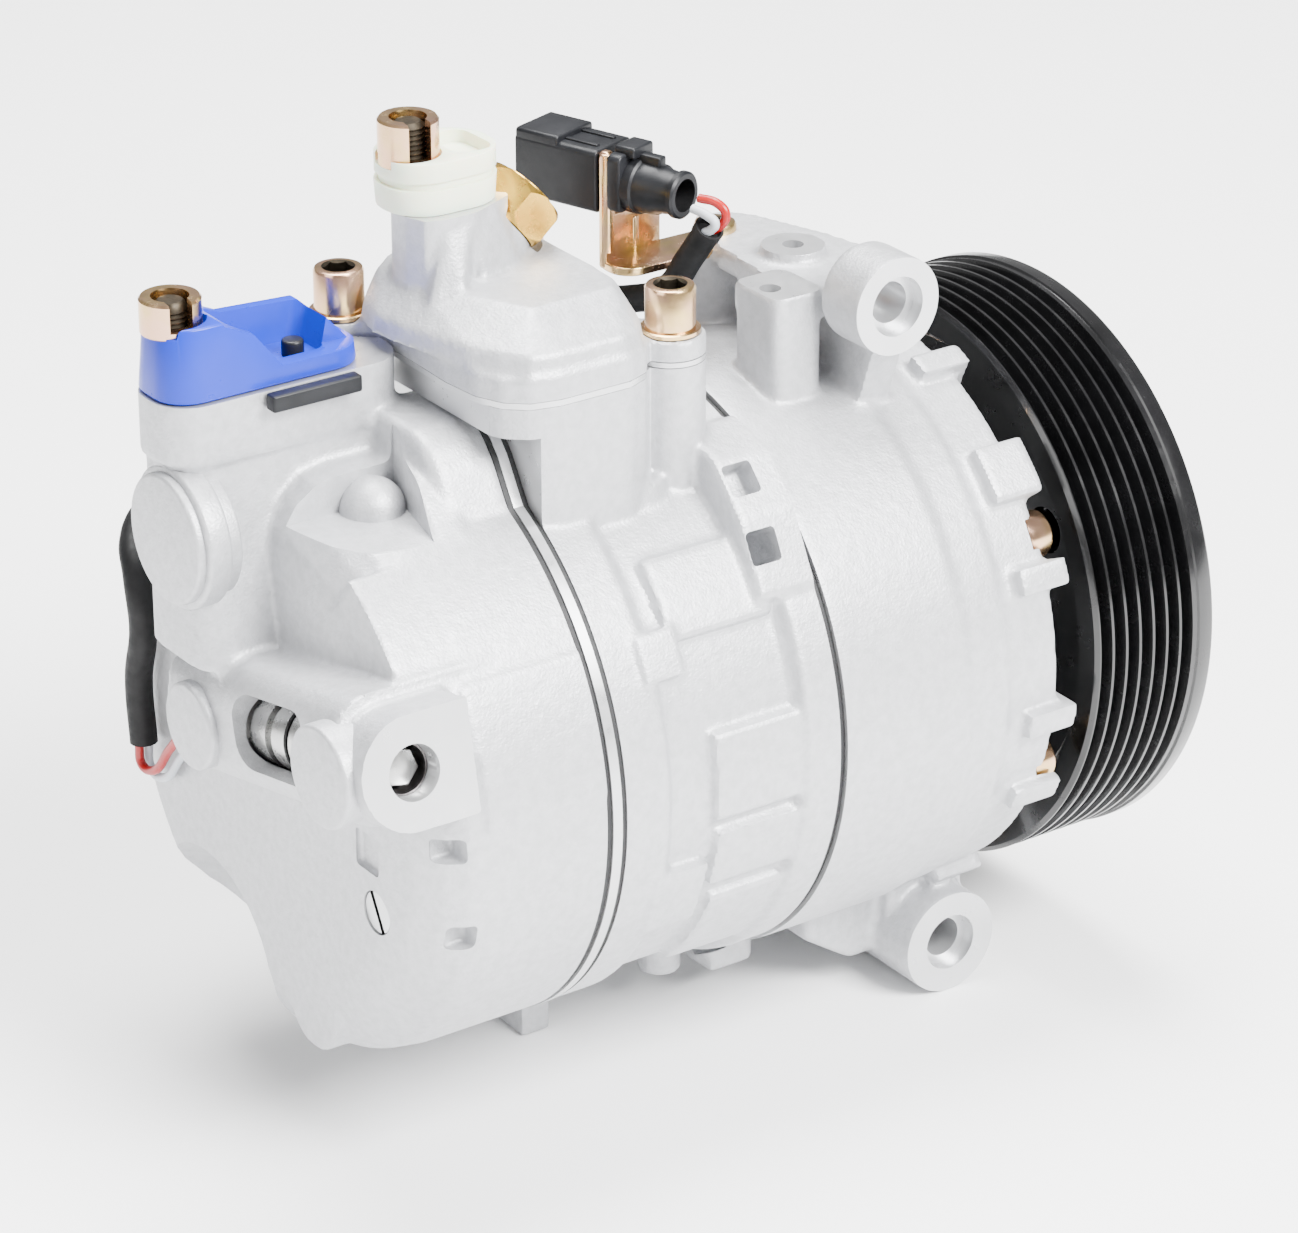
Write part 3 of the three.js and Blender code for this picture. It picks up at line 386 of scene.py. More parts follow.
def slab(x, y, z, soft=0.0):
    bm = bmesh.new()
    middle = Vector([(low + high) / 2 for low, high in (x, y, z)])
    size = [high - low for low, high in (x, y, z)]
    bmesh.ops.create_cube(bm, size=1,
                          matrix=Matrix.Translation(middle) @ Matrix.Diagonal((*size, 1)))
    return soften(bm, soft) if soft else bm


def prism(outline, axis, low, high, soft=0.0):
    """An outline in the other two axes, pushed along x, y or z."""
    spot = {"X": lambda u, v: (low, u, v),
            "Y": lambda u, v: (u, low, v),
            "Z": lambda u, v: (u, v, low)}[axis]
    bm = bmesh.new()
    base = bm.faces.new([bm.verts.new(spot(u, v)) for u, v in outline])
    grown = bmesh.ops.extrude_face_region(bm, geom=[base], use_keep_orig=True)
    push = Vector([high - low if letter == axis else 0 for letter in "XYZ"])
    bmesh.ops.translate(bm, vec=push, verts=only_verts(grown["geom"]))
    facing_out(bm)
    return soften(bm, soft) if soft else bm


def loft(bottom, top, z0, z1):
    """A boss whose sides lean from one outline to another."""
    bm = bmesh.new()
    rims = []
    for outline, z in ((bottom, z0), (top, z1)):
        face = bm.faces.new([bm.verts.new((x, y, z)) for x, y in outline])
        rims.append(list(face.edges))
    bmesh.ops.bridge_loops(bm, edges=rims[0] + rims[1])
    return facing_out(bm)


def hull(points):
    """The faceted solid that just encloses the points."""
    bm = bmesh.new()
    made = bmesh.ops.convex_hull(bm, input=[bm.verts.new(p) for p in points])
    bmesh.ops.delete(bm, geom=only_verts(made["geom_interior"]), context="VERTS")
    return facing_out(bm)


def at_height(outline, z, size=1.0):
    """The outline at a height, grown or shrunk about the middle of the cover."""
    return [(17 + (x - 17) * size, -4 + (y + 4) * size, z) for x, y in outline]


def lathe(profile, steps=144, closed=False):
    """A profile of (x, radius) points spun about the shaft. A closed profile makes a ring."""
    bm = bmesh.new()
    verts = [bm.verts.new((x, 0, r)) for x, r in profile]
    pairs = list(zip(verts, verts[1:]))
    if closed:
        pairs.append((verts[-1], verts[0]))
    edges = [bm.edges.new(pair) for pair in pairs]
    bmesh.ops.spin(bm, geom=verts + edges, cent=(0, 0, 0), axis=(1, 0, 0), dvec=(0, 0, 0),
                   angle=2 * math.pi, steps=steps, use_merge=True, use_duplicate=False)
    return facing_out(bm)


def ring(x0, x1, r_in, r_out, steps=144):
    """A plain ring about the shaft."""
    return lathe([(x0, r_in), (x0, r_out), (x1, r_out), (x1, r_in)], steps, closed=True)


def hexagon(across, turn=0):
    r = across / 2 / math.cos(math.radians(30))
    turns = [math.radians(60 * i + turn) for i in range(6)]
    return [(r * math.cos(a), r * math.sin(a)) for a in turns]


def globe(r, at):
    bm = bmesh.new()
    bmesh.ops.create_uvsphere(bm, u_segments=48, v_segments=24, radius=r,
                              matrix=Matrix.Translation(at))
    return bm


# ---------------------------------------------------------------- making objects

def solid(name, bm, finish=None):
    mesh = bpy.data.meshes.new(name)
    bm.to_mesh(mesh)
    bm.free()
    obj = bpy.data.objects.new(name, mesh)
    bpy.context.collection.objects.link(obj)
    if finish:
        obj.data.materials.append(FINISHES[finish])
    return obj


def settle(obj):
    """Makes the modifiers' result the object's own mesh."""
    bpy.context.view_layer.update()
    graph = bpy.context.evaluated_depsgraph_get()
    made = bpy.data.meshes.new_from_object(
        obj.evaluated_get(graph), preserve_all_data_layers=True, depsgraph=graph)
    if not made.polygons:
        raise RuntimeError(f"{obj.name} came out empty")
    old = obj.data
    obj.modifiers.clear()
    obj.data = made
    bpy.data.meshes.remove(old)
    return obj


def carved(obj, tools, finish=None, operation="DIFFERENCE"):
    """Cuts or joins each tool in turn; the new faces take the tool's finish."""
    helpers = []
    for tool in tools:
        helper = solid("tool", tool, finish)
        cut = obj.modifiers.new("cut", "BOOLEAN")
        cut.operation = operation
        cut.solver = "MANIFOLD"
        cut.object = helper
        if finish:
            cut.material_mode = "TRANSFER"
        helpers.append(helper)
    settle(obj)
    for helper in helpers:
        mesh = helper.data
        bpy.data.objects.remove(helper)
        bpy.data.meshes.remove(mesh)
    return obj


def rounded_over(obj, grain, rounding):
    """Melts overlapping solids into one skin with rounded edges and fillets."""
    skin = obj.modifiers.new("skin", "REMESH")
    skin.mode = "VOXEL"
    skin.voxel_size = grain
    ease = obj.modifiers.new("ease", "SMOOTH")
    ease.factor = 0.5
    ease.iterations = rounding
    return settle(obj)


def edges_eased(obj, width):
    """Rounds every edge that turns sharply."""
    ease = obj.modifiers.new("ease", "BEVEL")
    ease.width = width
    ease.segments = 3
    ease.limit_method = "ANGLE"
    ease.angle_limit = math.radians(38)
    return settle(obj)


def casting(name, solids, hollows=()):
    """A casting: solids melted together with every edge eased, and hollows cut away."""
    sizes = bpy.context.scene.compressor_sizes
    obj = solid(name, together(*solids))
    rounded_over(obj, sizes.casting_grain, sizes.casting_rounding)
    if hollows:
        carved(obj, hollows)
    obj.data.materials.clear()
    for finish in ("cast_aluminium", "machined_aluminium"):
        obj.data.materials.append(FINISHES[finish])
    return obj


def finished(obj, body, slot, *nodes):
    """Puts a piece in place, on its body, shades it smooth and hides the nodes it stands for. Its
    slot is not used.
    """
    obj.data.transform(PLACE)
    obj.data.polygons.foreach_set("use_smooth", [True] * len(obj.data.polygons))
    obj.data.set_sharp_from_angle(angle=math.radians(32))
    obj.data.update()
    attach(obj, body)
    if nodes:
        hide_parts(*nodes)
    return obj


def piece(name, bm, body, slot, *nodes, cuts=(), cut_finish=None):
    """A finished piece from a ready shape, with its cuts."""
    obj = solid(name, bm, slot)
    if cuts:
        carved(obj, cuts, cut_finish)
    return finished(obj, body, slot, *nodes)


# ---------------------------------------------------------------- stage, camera and leads

def area_light(name, at, aim, size, power):
    data = bpy.data.lights.new(name, "AREA")
    data.energy = power
    data.shape = "SQUARE"
    data.size = size
    obj = bpy.data.objects.new(name, data)
    bpy.context.collection.objects.link(obj)
    obj.location = at
    obj.rotation_euler = (Vector(aim) - Vector(at)).to_track_quat("-Z", "Y").to_euler()
    return obj


class COMPRESSOR_OT_stage(bpy.types.Operator):
    """Adds the camera, the soft studio lights and the pale floor"""
    bl_idname = "compressor.stage"
    bl_label = "Stage"

    def execute(self, context):
        data = bpy.data.cameras.new("camera")
        data.lens = CAMERA_LENS
        data.sensor_width = 36
        data.clip_end = 20
        camera = bpy.data.objects.new("camera", data)
        context.collection.objects.link(camera)
        camera.location = CAMERA_AT
        aim = Vector(CAMERA_AIM) - camera.location
        camera.rotation_euler = aim.to_track_quat("-Z", "Y").to_euler()
        context.scene.camera = camera

        world = bpy.data.worlds.new("studio")
        world.use_nodes = True
        world.node_tree.nodes["Background"].inputs["Color"].default_value = (1, 1, 1, 1)
        world.node_tree.nodes["Background"].inputs["Strength"].default_value = WORLD_STRENGTH
        context.scene.world = world
        for light in LIGHTS:
            area_light(*light)

        bm = bmesh.new()
        bmesh.ops.create_grid(bm, x_segments=1, y_segments=1, size=4)
        floor = solid("floor", bm)
        floor.data.materials.append(surface("floor", (0.92, 0.92, 0.92), 0.0, (0.6, 0.7), 30,
                                            (0.02, 0.0002), 0.99, 2, scratches=False))
        return {"FINISHED"}


def lead(name, route, radius, finish, node):
    """A lead along its whole route, as one smooth open curve, with its length."""
    curve = bpy.data.curves.new(name, "CURVE")
    curve.dimensions = "3D"
    curve.bevel_depth = radius
    curve.bevel_resolution = 5
    curve.use_fill_caps = True
    spline = curve.splines.new("BEZIER")
    spline.bezier_points.add(len(route) - 1)
    spline.resolution_u = 10
    for point, spot in zip(spline.bezier_points, route):
        point.co = PLACE @ Vector(spot)
        point.handle_left_type = point.handle_right_type = "AUTO"
    obj = bpy.data.objects.new(name, curve)
    bpy.context.collection.objects.link(obj)
    curve.materials.append(FINISHES[finish])
    bpy.context.view_layer.update()
    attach(obj, "housing")
    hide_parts(node)
    return obj, spline.calc_length()


class COMPRESSOR_OT_leads(bpy.types.Operator):
    """Adds the sleeve and the leads that run from the connector to the control valve"""
    bl_idname = "compressor.leads"
    bl_label = "Sleeve and leads"

    def execute(self, context):
        rows = (("plug_lead_red", RED_ROUTE, "red_insulation", "lead_red"),
                ("plug_lead_grey", GREY_ROUTE, "grey_insulation", "lead_grey"),
                ("tail_lead_red", TAIL_RED_ROUTE, "red_insulation", "valve_lead_red"),
                ("tail_lead_grey", TAIL_GREY_ROUTE, "grey_insulation", "valve_lead_grey"))
        wires = [lead(name, route, WIRE_R, finish, node)[0] for name, route, finish, node in rows]
        sleeve, length = lead("sleeve", SLEEVE_ROUTE, SLEEVE_R, "black_rubber", "lead_sleeve")
        return {"FINISHED"}


class COMPRESSOR_OT_finishes(bpy.types.Operator):
    """Makes the finishes and gives the hidden inner pieces theirs"""
    bl_idname = "compressor.finishes"
    bl_label = "Finishes"

    def execute(self, context):
        make_finishes(context.scene.compressor_finishes)
        for part in frame["record"]["subparts"]:
            obj = frame["nodes"].get(part["node"])
            if obj is None:
                raise RuntimeError(f"the model has no piece {part['node']}")
            obj.data.materials.clear()
            obj.data.materials.append(FINISHES[part["material_slot"]])
        return {"FINISHED"}


# ---------------------------------------------------------------- castings

def screw_lug(screw, z0, z1, r=None):
    """The lug round one cover screw, with a web towards the middle of the cover."""
    x, y, own = screw
    r = r or own
    inward = Vector((17 - x, -2.5 - y)).normalized()
    side = Vector((-inward.y, inward.x)) * r * 0.85
    start, end = Vector((x, y)), Vector((x, y)) + inward * 14
    web = [start + side, start - side, end - side, end + side]
    return [bar_z(r, z0, z1, x, y), prism([tuple(p) for p in web], "Z", z0, z1)]


def bolt_holes(r, x0, x1):
    return [bar_x(r, x0, x1, *around(BOLT_PITCH_R, a), sides=32) for a in BOLT_ANGLES]


def muffler_inside(z0, z1):
    return prism(rounded((6, 30), (-19, 14), 7), "Z", z0, z1)


def in_valve(bm):
    return moved(bm, VALVE)


class COMPRESSOR_OT_rear_head(bpy.types.Operator):
    """Adds the rear head with its port tower and the control valve's housing"""
    bl_idname = "compressor.rear_head"
    bl_label = "Rear head"

    def execute(self, context):
        shell = lathe([(1, 0), (1, HOUSING_R), (-25, HOUSING_R), (-31, 60.6), (-35.5, 57.6),
                       (-38.8, 52.5),
                       (-40, 46), (-40, 0)])
        solids = [
            shell,
            sector(20, 61.4, 32, 70, -39.4, -10),
            prism(HUMP, "X", -14, 1, 2.2),
            prism([(-36, 40), (-35, 50), (-28, 56), (-22, 62), (-10, 64), (-10, 40)],
                  "X", -19, -10, 2),
            loft(rounded((-56, -13), (-8, 17), 6), rounded((-56, -8), (-1, 17), 6), 26, 67),
            prism(rounded((-58, -5.5), (-2, 17), 8), "Z", 66.5, 80),
            bar_x(9, -39.6, -20, *around(50, 162.9)),
            sector(30, 62.0, 57, 83, -27, 1),
            in_valve(prism(rounded((-10.5, 30), (-12, 14), 8.5), "Y", -30, 34)),
            in_valve(bar_y(11.4, -40.8, -14, 0, 0)),
            in_valve(slab((0, 13), (-40.8, -14), (-11.4, 11.4))),
        ]
        ledge = prism([(-60, -60), (-19.4, -60), (-19.4, -33), (-13.5, -9.5), (-13.5, -8),
                       (-60, -8)],
                      "Z", HEAD_BUMP[2], 90)
        hollows = [
            globe(26, (-49, 24, -54)),
            ledge,
            in_valve(prism(rounded((-18.8, 8.6), (-5.4, 9.6), 5.6), "X", -20, -4)),
            slab((-37, -31.5), (-66, -54.5), (1.5, 6.5), 1),
            slab((-34.5, -29), (-66, -54.5), (-18, -12.5), 1.2),
            slab((-45, -38.6), (-42, -34), (-7, 1), 1),
        ]
        bump = together(globe(6.5, HEAD_BUMP), bar_z(6.4, 40, HEAD_BUMP[2], *HEAD_BUMP[:2]))
        head = casting("rear_head_casting", solids, hollows)
        discs = [
            bar_x(13, -58, -48, *TOWER_DISC, sides=96, soft=0.8),
            bar_x(14.4, -56.2, -51, *TOWER_DISC, sides=96, soft=0.8),
            in_valve(bar_x(10.2, -13.2, 6, -27, 0, sides=96, soft=0.8)),
            in_valve(bar_x(8.9, -12.2, 6, 24, 0, sides=96, soft=0.8)),
        ]
        carved(head, [bump] + discs, operation="UNION")
        machined = [
            slab((-0.6, 10), (-90, 90), (-90, 90)),
            slab((-70, 10), (-20, 30), (79, 90)),
            in_valve(slab((-20, 20), (-50, -40), (-20, 20))),
            in_valve(bar_y(5.2, -50, -10, 0, 0)),
            in_valve(bar_y(5.9, -41, -39.3, 0, 0, r2=5.2)),
            in_valve(bar_y(8, -16, 40, 0, 0)),
            bar_z(6.5, 18.6, 90, *DISCHARGE_PORT),
            bar_z(3.2, 60, 90, *DISCHARGE_STUD),
            bar_x(4.5, -45, -32, *REAR_PLUG),
            bar_z(7.3, 69.7, 95, -9, 19.5),
            ring(-21, 3, 26, 46.5),
            bar_x(22, -24, 3),
        ] + bolt_holes(3.3, -22, 3)
        web = screw_lug(COVER_SCREWS[1], 69.7, 95, 7.3)[1]
        carved(head, machined + [web], "machined_aluminium")
        finished(head, "housing", "cast_aluminium", "rear_head")
        return {"FINISHED"}


# Outer radius, first and last angle, and the two ends of each raised panel.
BLOCK_PANELS = (
    (61.8, 78.5, 96, 25, 47), (61.6, 98.5, 111, 26, 47), (61.6, 115, 140, 28, 47),
    (61.6, 44, 60, 20, 44), (62.4, 57, 66, 12, 21), (62.4, 104, 119, 12, 24),
    (61.5, 155, 171, 12, 24), (61.5, 206, 222, 12, 24), (61.5, 258, 274, 12, 24),
    (61.5, 309, 325, 12, 24), (60.8, 188, 204, 25, 46), (60.8, 226, 252, 25, 46),
    (60.8, 279, 300, 25, 46))


class COMPRESSOR_OT_cylinder_block(bpy.types.Operator):
    """Adds the cylinder block with its seven bores, muffler wall and pocketed ear"""
    bl_idname = "compressor.cylinder_block"
    bl_label = "Cylinder block"

    def execute(self, context):
        barrel = lathe([(2, 0), (2, HOUSING_R), (14, HOUSING_R), (15.5, WAIST_R), (45, WAIST_R),
                        (46.5, SEAM_R), (56, SEAM_R), (56, 0)])
        foot_of_wall = loft(rounded((2, 38.5), (-36, 27), 10),
                            rounded((5, 37.8), (-32, 23), 8), 40, 54)
        solids = [
            barrel,
            prism(HUMP, "X", 2, 14, 2.2),
            prism(MUFFLER, "Z", 20, 78),
            foot_of_wall,
            bar_z(7, 40, 72, 39.5, -25),
            bar_z(6.4, 45, 72, 36, 22.5),
            prism([(-20, 48), (-20, 57), (-26, 60.5), (-36.8, 57.9), (-46, 48.3), (-53.5, 34),
                   (-46, 28)],
                  "X", 41, 56, 0.8),
            slab((17.5, 24.5), (-3.5, 12.5), (-79, -50), 0.6),
            bar_z(4.5, -70, -50, 49, -8, soft=0.6),
        ]
        solids += [sector(40, *panel) for panel in BLOCK_PANELS]
        for screw in COVER_SCREWS:
            solids += screw_lug(screw, 70.4, 78)
        pockets = []
        for at, depth, lean in (((45.5, -40.5, 54), 2.6, 46), ((45, -49.3, 43.2), 8, 60)):
            turn = Matrix.Translation(at) @ Matrix.Rotation(math.radians(lean), 4, "X")
            pocket = slab((-3.4, 3.4), (-3.4, 3.4), (-2 * depth, 2 * depth), 0.9)
            pockets.append(moved(pocket, turn))
        block = casting("block_casting", solids, pockets)
        bores = [bar_x(PISTON_BORE_R, 0, 60, *around(PISTON_PITCH_R,
                                                     PISTON_ANGLE + 360 / PISTONS * i))
                 for i in range(PISTONS)]
        machined = [
            slab((-9, 80), (-60, 60), (76, 90)),
            slab((54, 70), (-90, 90), (-90, 90)),
            slab((-9, 4), (-90, 90), (-90, 70)),
            slab((-9, -3.2), (-90, 90), (-90, 90)),
            bar_x(11.3, 0, 60),
            muffler_inside(62, 90),
        ] + bores + bolt_holes(2.7, 0, 60)
        machined += [bar_z(3.3, 62 if x > 0 else 70, 90, x, y, sides=32)
                     for x, y, _ in COVER_SCREWS]
        carved(block, machined, "machined_aluminium")
        finished(block, "housing", "cast_aluminium", "cylinder_block")
        return {"FINISHED"}


class COMPRESSOR_OT_muffler_cover(bpy.types.Operator):
    """Adds the muffler cover with the suction port's neck and the relief valve's boss"""
    bl_idname = "compressor.muffler_cover"
    bl_label = "Muffler cover"

    def execute(self, context):
        solids = [
            prism(MUFFLER, "Z", 75, 82.1),
            hull(at_height(DOME, 82.2, 0.97) + at_height(DOME, 86, 0.95) + at_height(DOME_TOP, 92)),
            prism(NECK, "Z", 84, 107),
            hull(at_height([(2.6, -3.4), (8.4, -3.6), (4, 2), (8, 2)], 104.5)
                 + at_height([(-5, -7), (1.5, -9.5), (9, -3), (-3, -1)], 86.6)
                 + at_height([(-2.5, -6), (3, -8.5)], 92)),
            hull(at_height([(9, -3), (15, -1.5), (10, 6)], 105)
                 + at_height([(9, -6), (19, -3), (25, 3), (10, 4)], 92)
                 + [(17, 1, 99.5), (21, 5, 96)]),
            moved(bar(8.6, (0, 0, -15), (0, 0, 1.5), 7.6), RELIEF),
        ]
        for screw in COVER_SCREWS:
            solids += screw_lug(screw, 75, SCREW_SEAT_Z)
        cover = casting("cover_casting", solids)
        machined = [
            slab((-20, 60), (-60, 60), (70, 77.4)),
            slab((-20, 40), (-20, 40), (105.5, 120)),
            prism(rounded((4, 31), (-21, 15), 7), "Z", 70, 87),
            bar_z(6.3, 80, 120, *SUCTION_PORT),
            bar_z(3.2, 90, 120, *SUCTION_STUD, sides=32),
            moved(bar_z(9.7, 0, 14, 0, 0), RELIEF),
            moved(bar_z(4.4, -9, 3, 0, 0), RELIEF),
        ]
        for x, y, _ in COVER_SCREWS:
            machined += [bar_z(3.6, 70, 95, x, y, sides=32), bar_z(6.2, 81.2, 110, x, y)]
        carved(cover, machined, "machined_aluminium")
        finished(cover, "housing", "cast_aluminium", "muffler_cover")
        return {"FINISHED"}


def rim_tooth(angle, width):
    """One round-ended lug of the front rim."""
    half = width / 2
    tooth = sector(53, 64.4, angle - half, angle + half, 101, 113)
    return soften(tooth, min(1.4, math.radians(half) * 36))


# Angle and width of each lug round the front rim, in degrees.
RIM_TEETH = ((22, 5), (47.5, 11), (68, 5), (96, 5), (113, 5), (150, 8), (195, 6), (232, 8),
             (283, 6), (335, 8))


class COMPRESSOR_OT_front_housing(bpy.types.Operator):
    """Adds the front housing with its nose, rim lugs, posts and the two mounting lugs"""
    bl_idname = "compressor.front_housing"
    bl_label = "Front housing"

    def execute(self, context):
        ux, uz, ur = UPPER_LUG
        lx, lz, lr = LOWER_LUG
        shell = lathe([(53, 0), (53, SEAM_R), (56, FRONT_R), (85, FRONT_R), (87.5, 62.5),
                       (96.5, 62.2),
                       (97.6, 61.4), (110, 61.2), (110, 24), (112, 18.4), (124, 18.4), (124, 0)])
        solids = [
            shell,
            prism(rounded((65.6, 78), (-24, -9), 3), "Z", 50, 81.5, 1.0),
            bar_z(7.6, 45, 77, *BRACKET_SCREW),
            prism([(66, -23), (80, -24), (78, -30), (92, -31), (101, -10), (98.5, 3), (92.5, 21),
                   (88, 26), (82, 27),
                   (76, 10), (74, -9), (66, -9)], "Z", 75, 80),
            bar_z(6.6, 72, 83, *TAPPED_BOSS),
            slab((82, 93), (-8, 26), (40, 76)),
            slab((58, 69), (-14, -4), (-72, -50), 1),
            bar_y(ur, -39, -26, ux, uz, soft=0.8),
            prism([(-26, 50), (-34, 72), (-34, 80), (8, 80), (8, 50)], "X", 83, 91),
            bar_y(lr, -39, 18, lx, lz, soft=0.8),
            prism([(74, -50), (74, -64), (86, -72), (96, -72), (104, -62), (108, -50)],
                  "Y", -26, 14, 1.5),
            prism([(94, -40), (92, -68), (113, -64), (110, -40)], "Y", -30, 18, 1.5),
            prism([(-27, -50), (-27, -57), (-23, -60.5), (-8, -71), (-4.5, -70), (-4, -50)],
                  "X", 57, 59.6),
        ]
        solids += [rim_tooth(*tooth) for tooth in RIM_TEETH]
        window = prism([(-22, -62.8), (-9.5, -69), (-7, -67), (-7, -63)], "X", 55, 62)
        front = casting("front_casting", solids, [window])
        nose = lathe([(121, 0), (121, 17.4), (141.5, 17.4), (141.5, 0)])
        carved(front, [nose], "machined_aluminium", "UNION")
        machined = [
            slab((40, 55.4), (-90, 90), (-90, 90)),
            slab((40, 130), (-60, LUG_FACE_Y), (66, 100)),
            slab((85, 130), (-60, LUG_FACE_Y), (-90, -50)),
            slab((60, 78.5), (-26, -8.5), (80.8, 83)),
            bar_z(7.2, 82.2, 90, *TAPPED_BOSS),
            lathe([(50, 0), (50, CHAMBER_R), (98, CHAMBER_R), (102, 46), (102, 0)]),
            bar_x(14.3, 101, 119.3),
            bar_x(12.3, 119, 138),
            bar_x(10, 130, 150),
            bar_y(LUG_BORE_R, -60, -20, ux, uz),
            bar_y(LUG_SLEEVE_R, -60, LUG_FACE_Y + 3, ux, uz),
            bar_y(LUG_BORE_R, -60, 40, lx, lz),
            bar_y(LUG_SLEEVE_R, -60, LUG_FACE_Y + 3, lx, lz),
            bar_z(2.2, 68, 90, *TAPPED_POST, sides=32),
            bar_z(2.2, 70, 90, *TAPPED_BOSS, sides=32),
            bar_z(2.6, 60, 90, *BRACKET_SCREW, sides=32),
        ] + bolt_holes(3.4, 50, 112) + bolt_holes(5.6, 108, 120)
        carved(front, machined, "machined_aluminium")
        finished(front, "housing", "cast_aluminium", "front_housing")
        return {"FINISHED"}


# ---------------------------------------------------------------- joints and running gear

def flange(r, x0, x1):
    return [bar_x(r, x0, x1, sides=144), prism(HUMP, "X", x0, x1)]


class COMPRESSOR_OT_joints(bpy.types.Operator):
    """Adds the gaskets and the valve plate that show as lines between the castings"""
    bl_idname = "compressor.joints"
    bl_label = "Gaskets and valve plate"

    def execute(self, context):
        for name, x0, x1, slot, grow in (("rear_head_gasket", -0.5, 0.6, "gasket", -0.3),
                                         ("valve_plate", 0.7, 2.8, "machined_aluminium", 0.15),
                                         ("cylinder_gasket", 2.9, 3.9, "gasket", -0.3)):
            disc, hump = flange(HOUSING_R + grow, x0, x1)
            along = [e for e in sharp_edges(hump) if abs(e.verts[0].co.x - e.verts[1].co.x) > 0.1]
            soften(hump, 2.2, along)
            obj = solid(name + "_sheet", disc, slot)
            carved(obj, [hump], operation="UNION")
            inner = [bar_x(49.5 if slot == "gasket" else 3.2, x0 - 1, x1 + 1, sides=96)]
            carved(obj, inner + bolt_holes(3.4, x0 - 1, x1 + 1))
            finished(obj, "housing", slot, name)
        piece("front_gasket_sheet", ring(54.2, 55.2, 52, 62.3), "housing", "gasket", "front_gasket",
              cuts=bolt_holes(3.4, 50, 60))
        sheet = solid("muffler_gasket_sheet", prism(MUFFLER, "Z", 76.1, 77.3), "machined_aluminium")
        for screw in COVER_SCREWS:
            carved(sheet, screw_lug(screw, 76.2, 77.2), operation="UNION")
        carved(sheet, [muffler_inside(70, 90)]
               + [bar_z(3.6, 70, 90, x, y, sides=32) for x, y, _ in COVER_SCREWS])
        finished(sheet, "housing", "machined_aluminium", "muffler_gasket")
        return {"FINISHED"}


class COMPRESSOR_OT_pulley(bpy.types.Operator):
    """Adds the grooved pulley, its bearing, the hub with its rubber damper, and the shaft"""
    bl_idname = "compressor.pulley"
    bl_label = "Pulley and hub"

    def execute(self, context):
        s = context.scene.compressor_sizes
        r, pitch = s.pulley_radius, s.groove_pitch
        crest, root = r - 0.4, r - 0.4 - s.groove_depth
        outer = [(119.6, 56.2), (119.6, 61.2), (120.0, 61.8), (FIRST_GROOVE_X - pitch / 2, crest)]
        for i in range(s.groove_count):
            x = FIRST_GROOVE_X + pitch * i
            outer += [(x - pitch / 2 + 0.32, crest), (x - 0.42, root), (x + 0.42, root),
                      (x + pitch / 2 - 0.32, crest)]
        outer += [(146.2, crest), (146.5, r), (149.5, r), (150.1, r - 0.3), (150.4, r - 1)]
        inner = [(150.4, 54.6), (149.6, 53.6), (147, 52.7), (133.4, 52.4), (133, 51.4), (133, 34),
                 (134, 33), (139.4, 31.8),
                 (140, 31.2), (140, 27), (123, 27), (123, 31), (123.6, 31.6), (126, 34), (126, 51),
                 (125, 52.4),
                 (120.6, 55.2)]
        holes = [bar_x(5, 120, 140, *around(42, 60 * i), sides=48) for i in range(6)]
        piece("belt_pulley", lathe(outer + inner, 192, closed=True), "rotor", "black_paint",
              "pulley", cuts=holes)
        race = lathe([(124, 25.2), (124, 26.8), (136, 26.8), (136, 25.2), (135.6, 24.9),
                      (124.4, 24.9)], closed=True)
        piece("outer_race", race, "rotor", "steel", "bearing_outer_race")
        inner_race = lathe([(124, 17.8), (124, 20), (124.4, 20.3), (135.6, 20.3), (136, 20),
                            (136, 17.8)], closed=True)
        piece("inner_race", inner_race, "housing", "steel", "bearing_inner_race")
        shield = ring(134.2, 134.8, 20.6, 24.6)
        piece("bearing_shield", shield, "housing", "black_rubber")
        piece("snap_ring", ring(136.3, 137.6, 18.1, 20.3), "housing", "dark_steel",
              "bearing_snap_ring", cuts=[slab((130, 140), (-3, 3), (10, 30))])

        plate = lathe([(142, 7.5), (142, 12.6), (142.4, 13), (144.4, 13), (144.8, 14),
                       (144.5, 32.8), (145.2, 33.4),
                       (147, 33.4), (147.4, 32.6), (147, 15.5), (148, 13), (148, 7.5)], closed=True)
        rivets = [bar_x(2.6, 141.2, 148.6, *around(30, a), sides=40, soft=0.4)
                  for a in (0, 120, 240)]
        hub = solid("drive_hub", plate, "black_paint")
        carved(hub, rivets, operation="UNION")
        finished(hub, "rotor", "black_paint", "hub")
        damper = lathe([(142.6, 34.3), (142.6, 51.8), (148, 51.8), (148.2, 51), (147.2, 48.5),
                        (147.6, 44), (148.2, 42),
                        (147.4, 39), (148.2, 35.2), (147.8, 34.3)], closed=True)
        piece("damper", damper, "rotor", "black_rubber", "damper_ring")
        nut = prism(hexagon(13), "X", 148.2, 150.3)
        piece("shaft_nut", nut, "rotor", "dark_steel", "hub_nut", cuts=[bar_x(5.0, 140, 160)])
        rod = [(12, 0), (12, 6.5), (13, 7.7), (40, 7.7), (40.3, 8), (128, 8), (128.3, 7.2),
               (147, 7.2), (147.4, 4.5)]
        for i in range(3):
            rod += [(147.6 + i * 0.9, 4.8), (148.0 + i * 0.9, 4.4)]
        rod += [(150, 4.7), (150.4, 4.2), (150.4, 0)]
        piece("drive_shaft", lathe(rod, 64), "rotor", "steel", "shaft")
        return {"FINISHED"}


# ---------------------------------------------------------------- fasteners, caps and valve

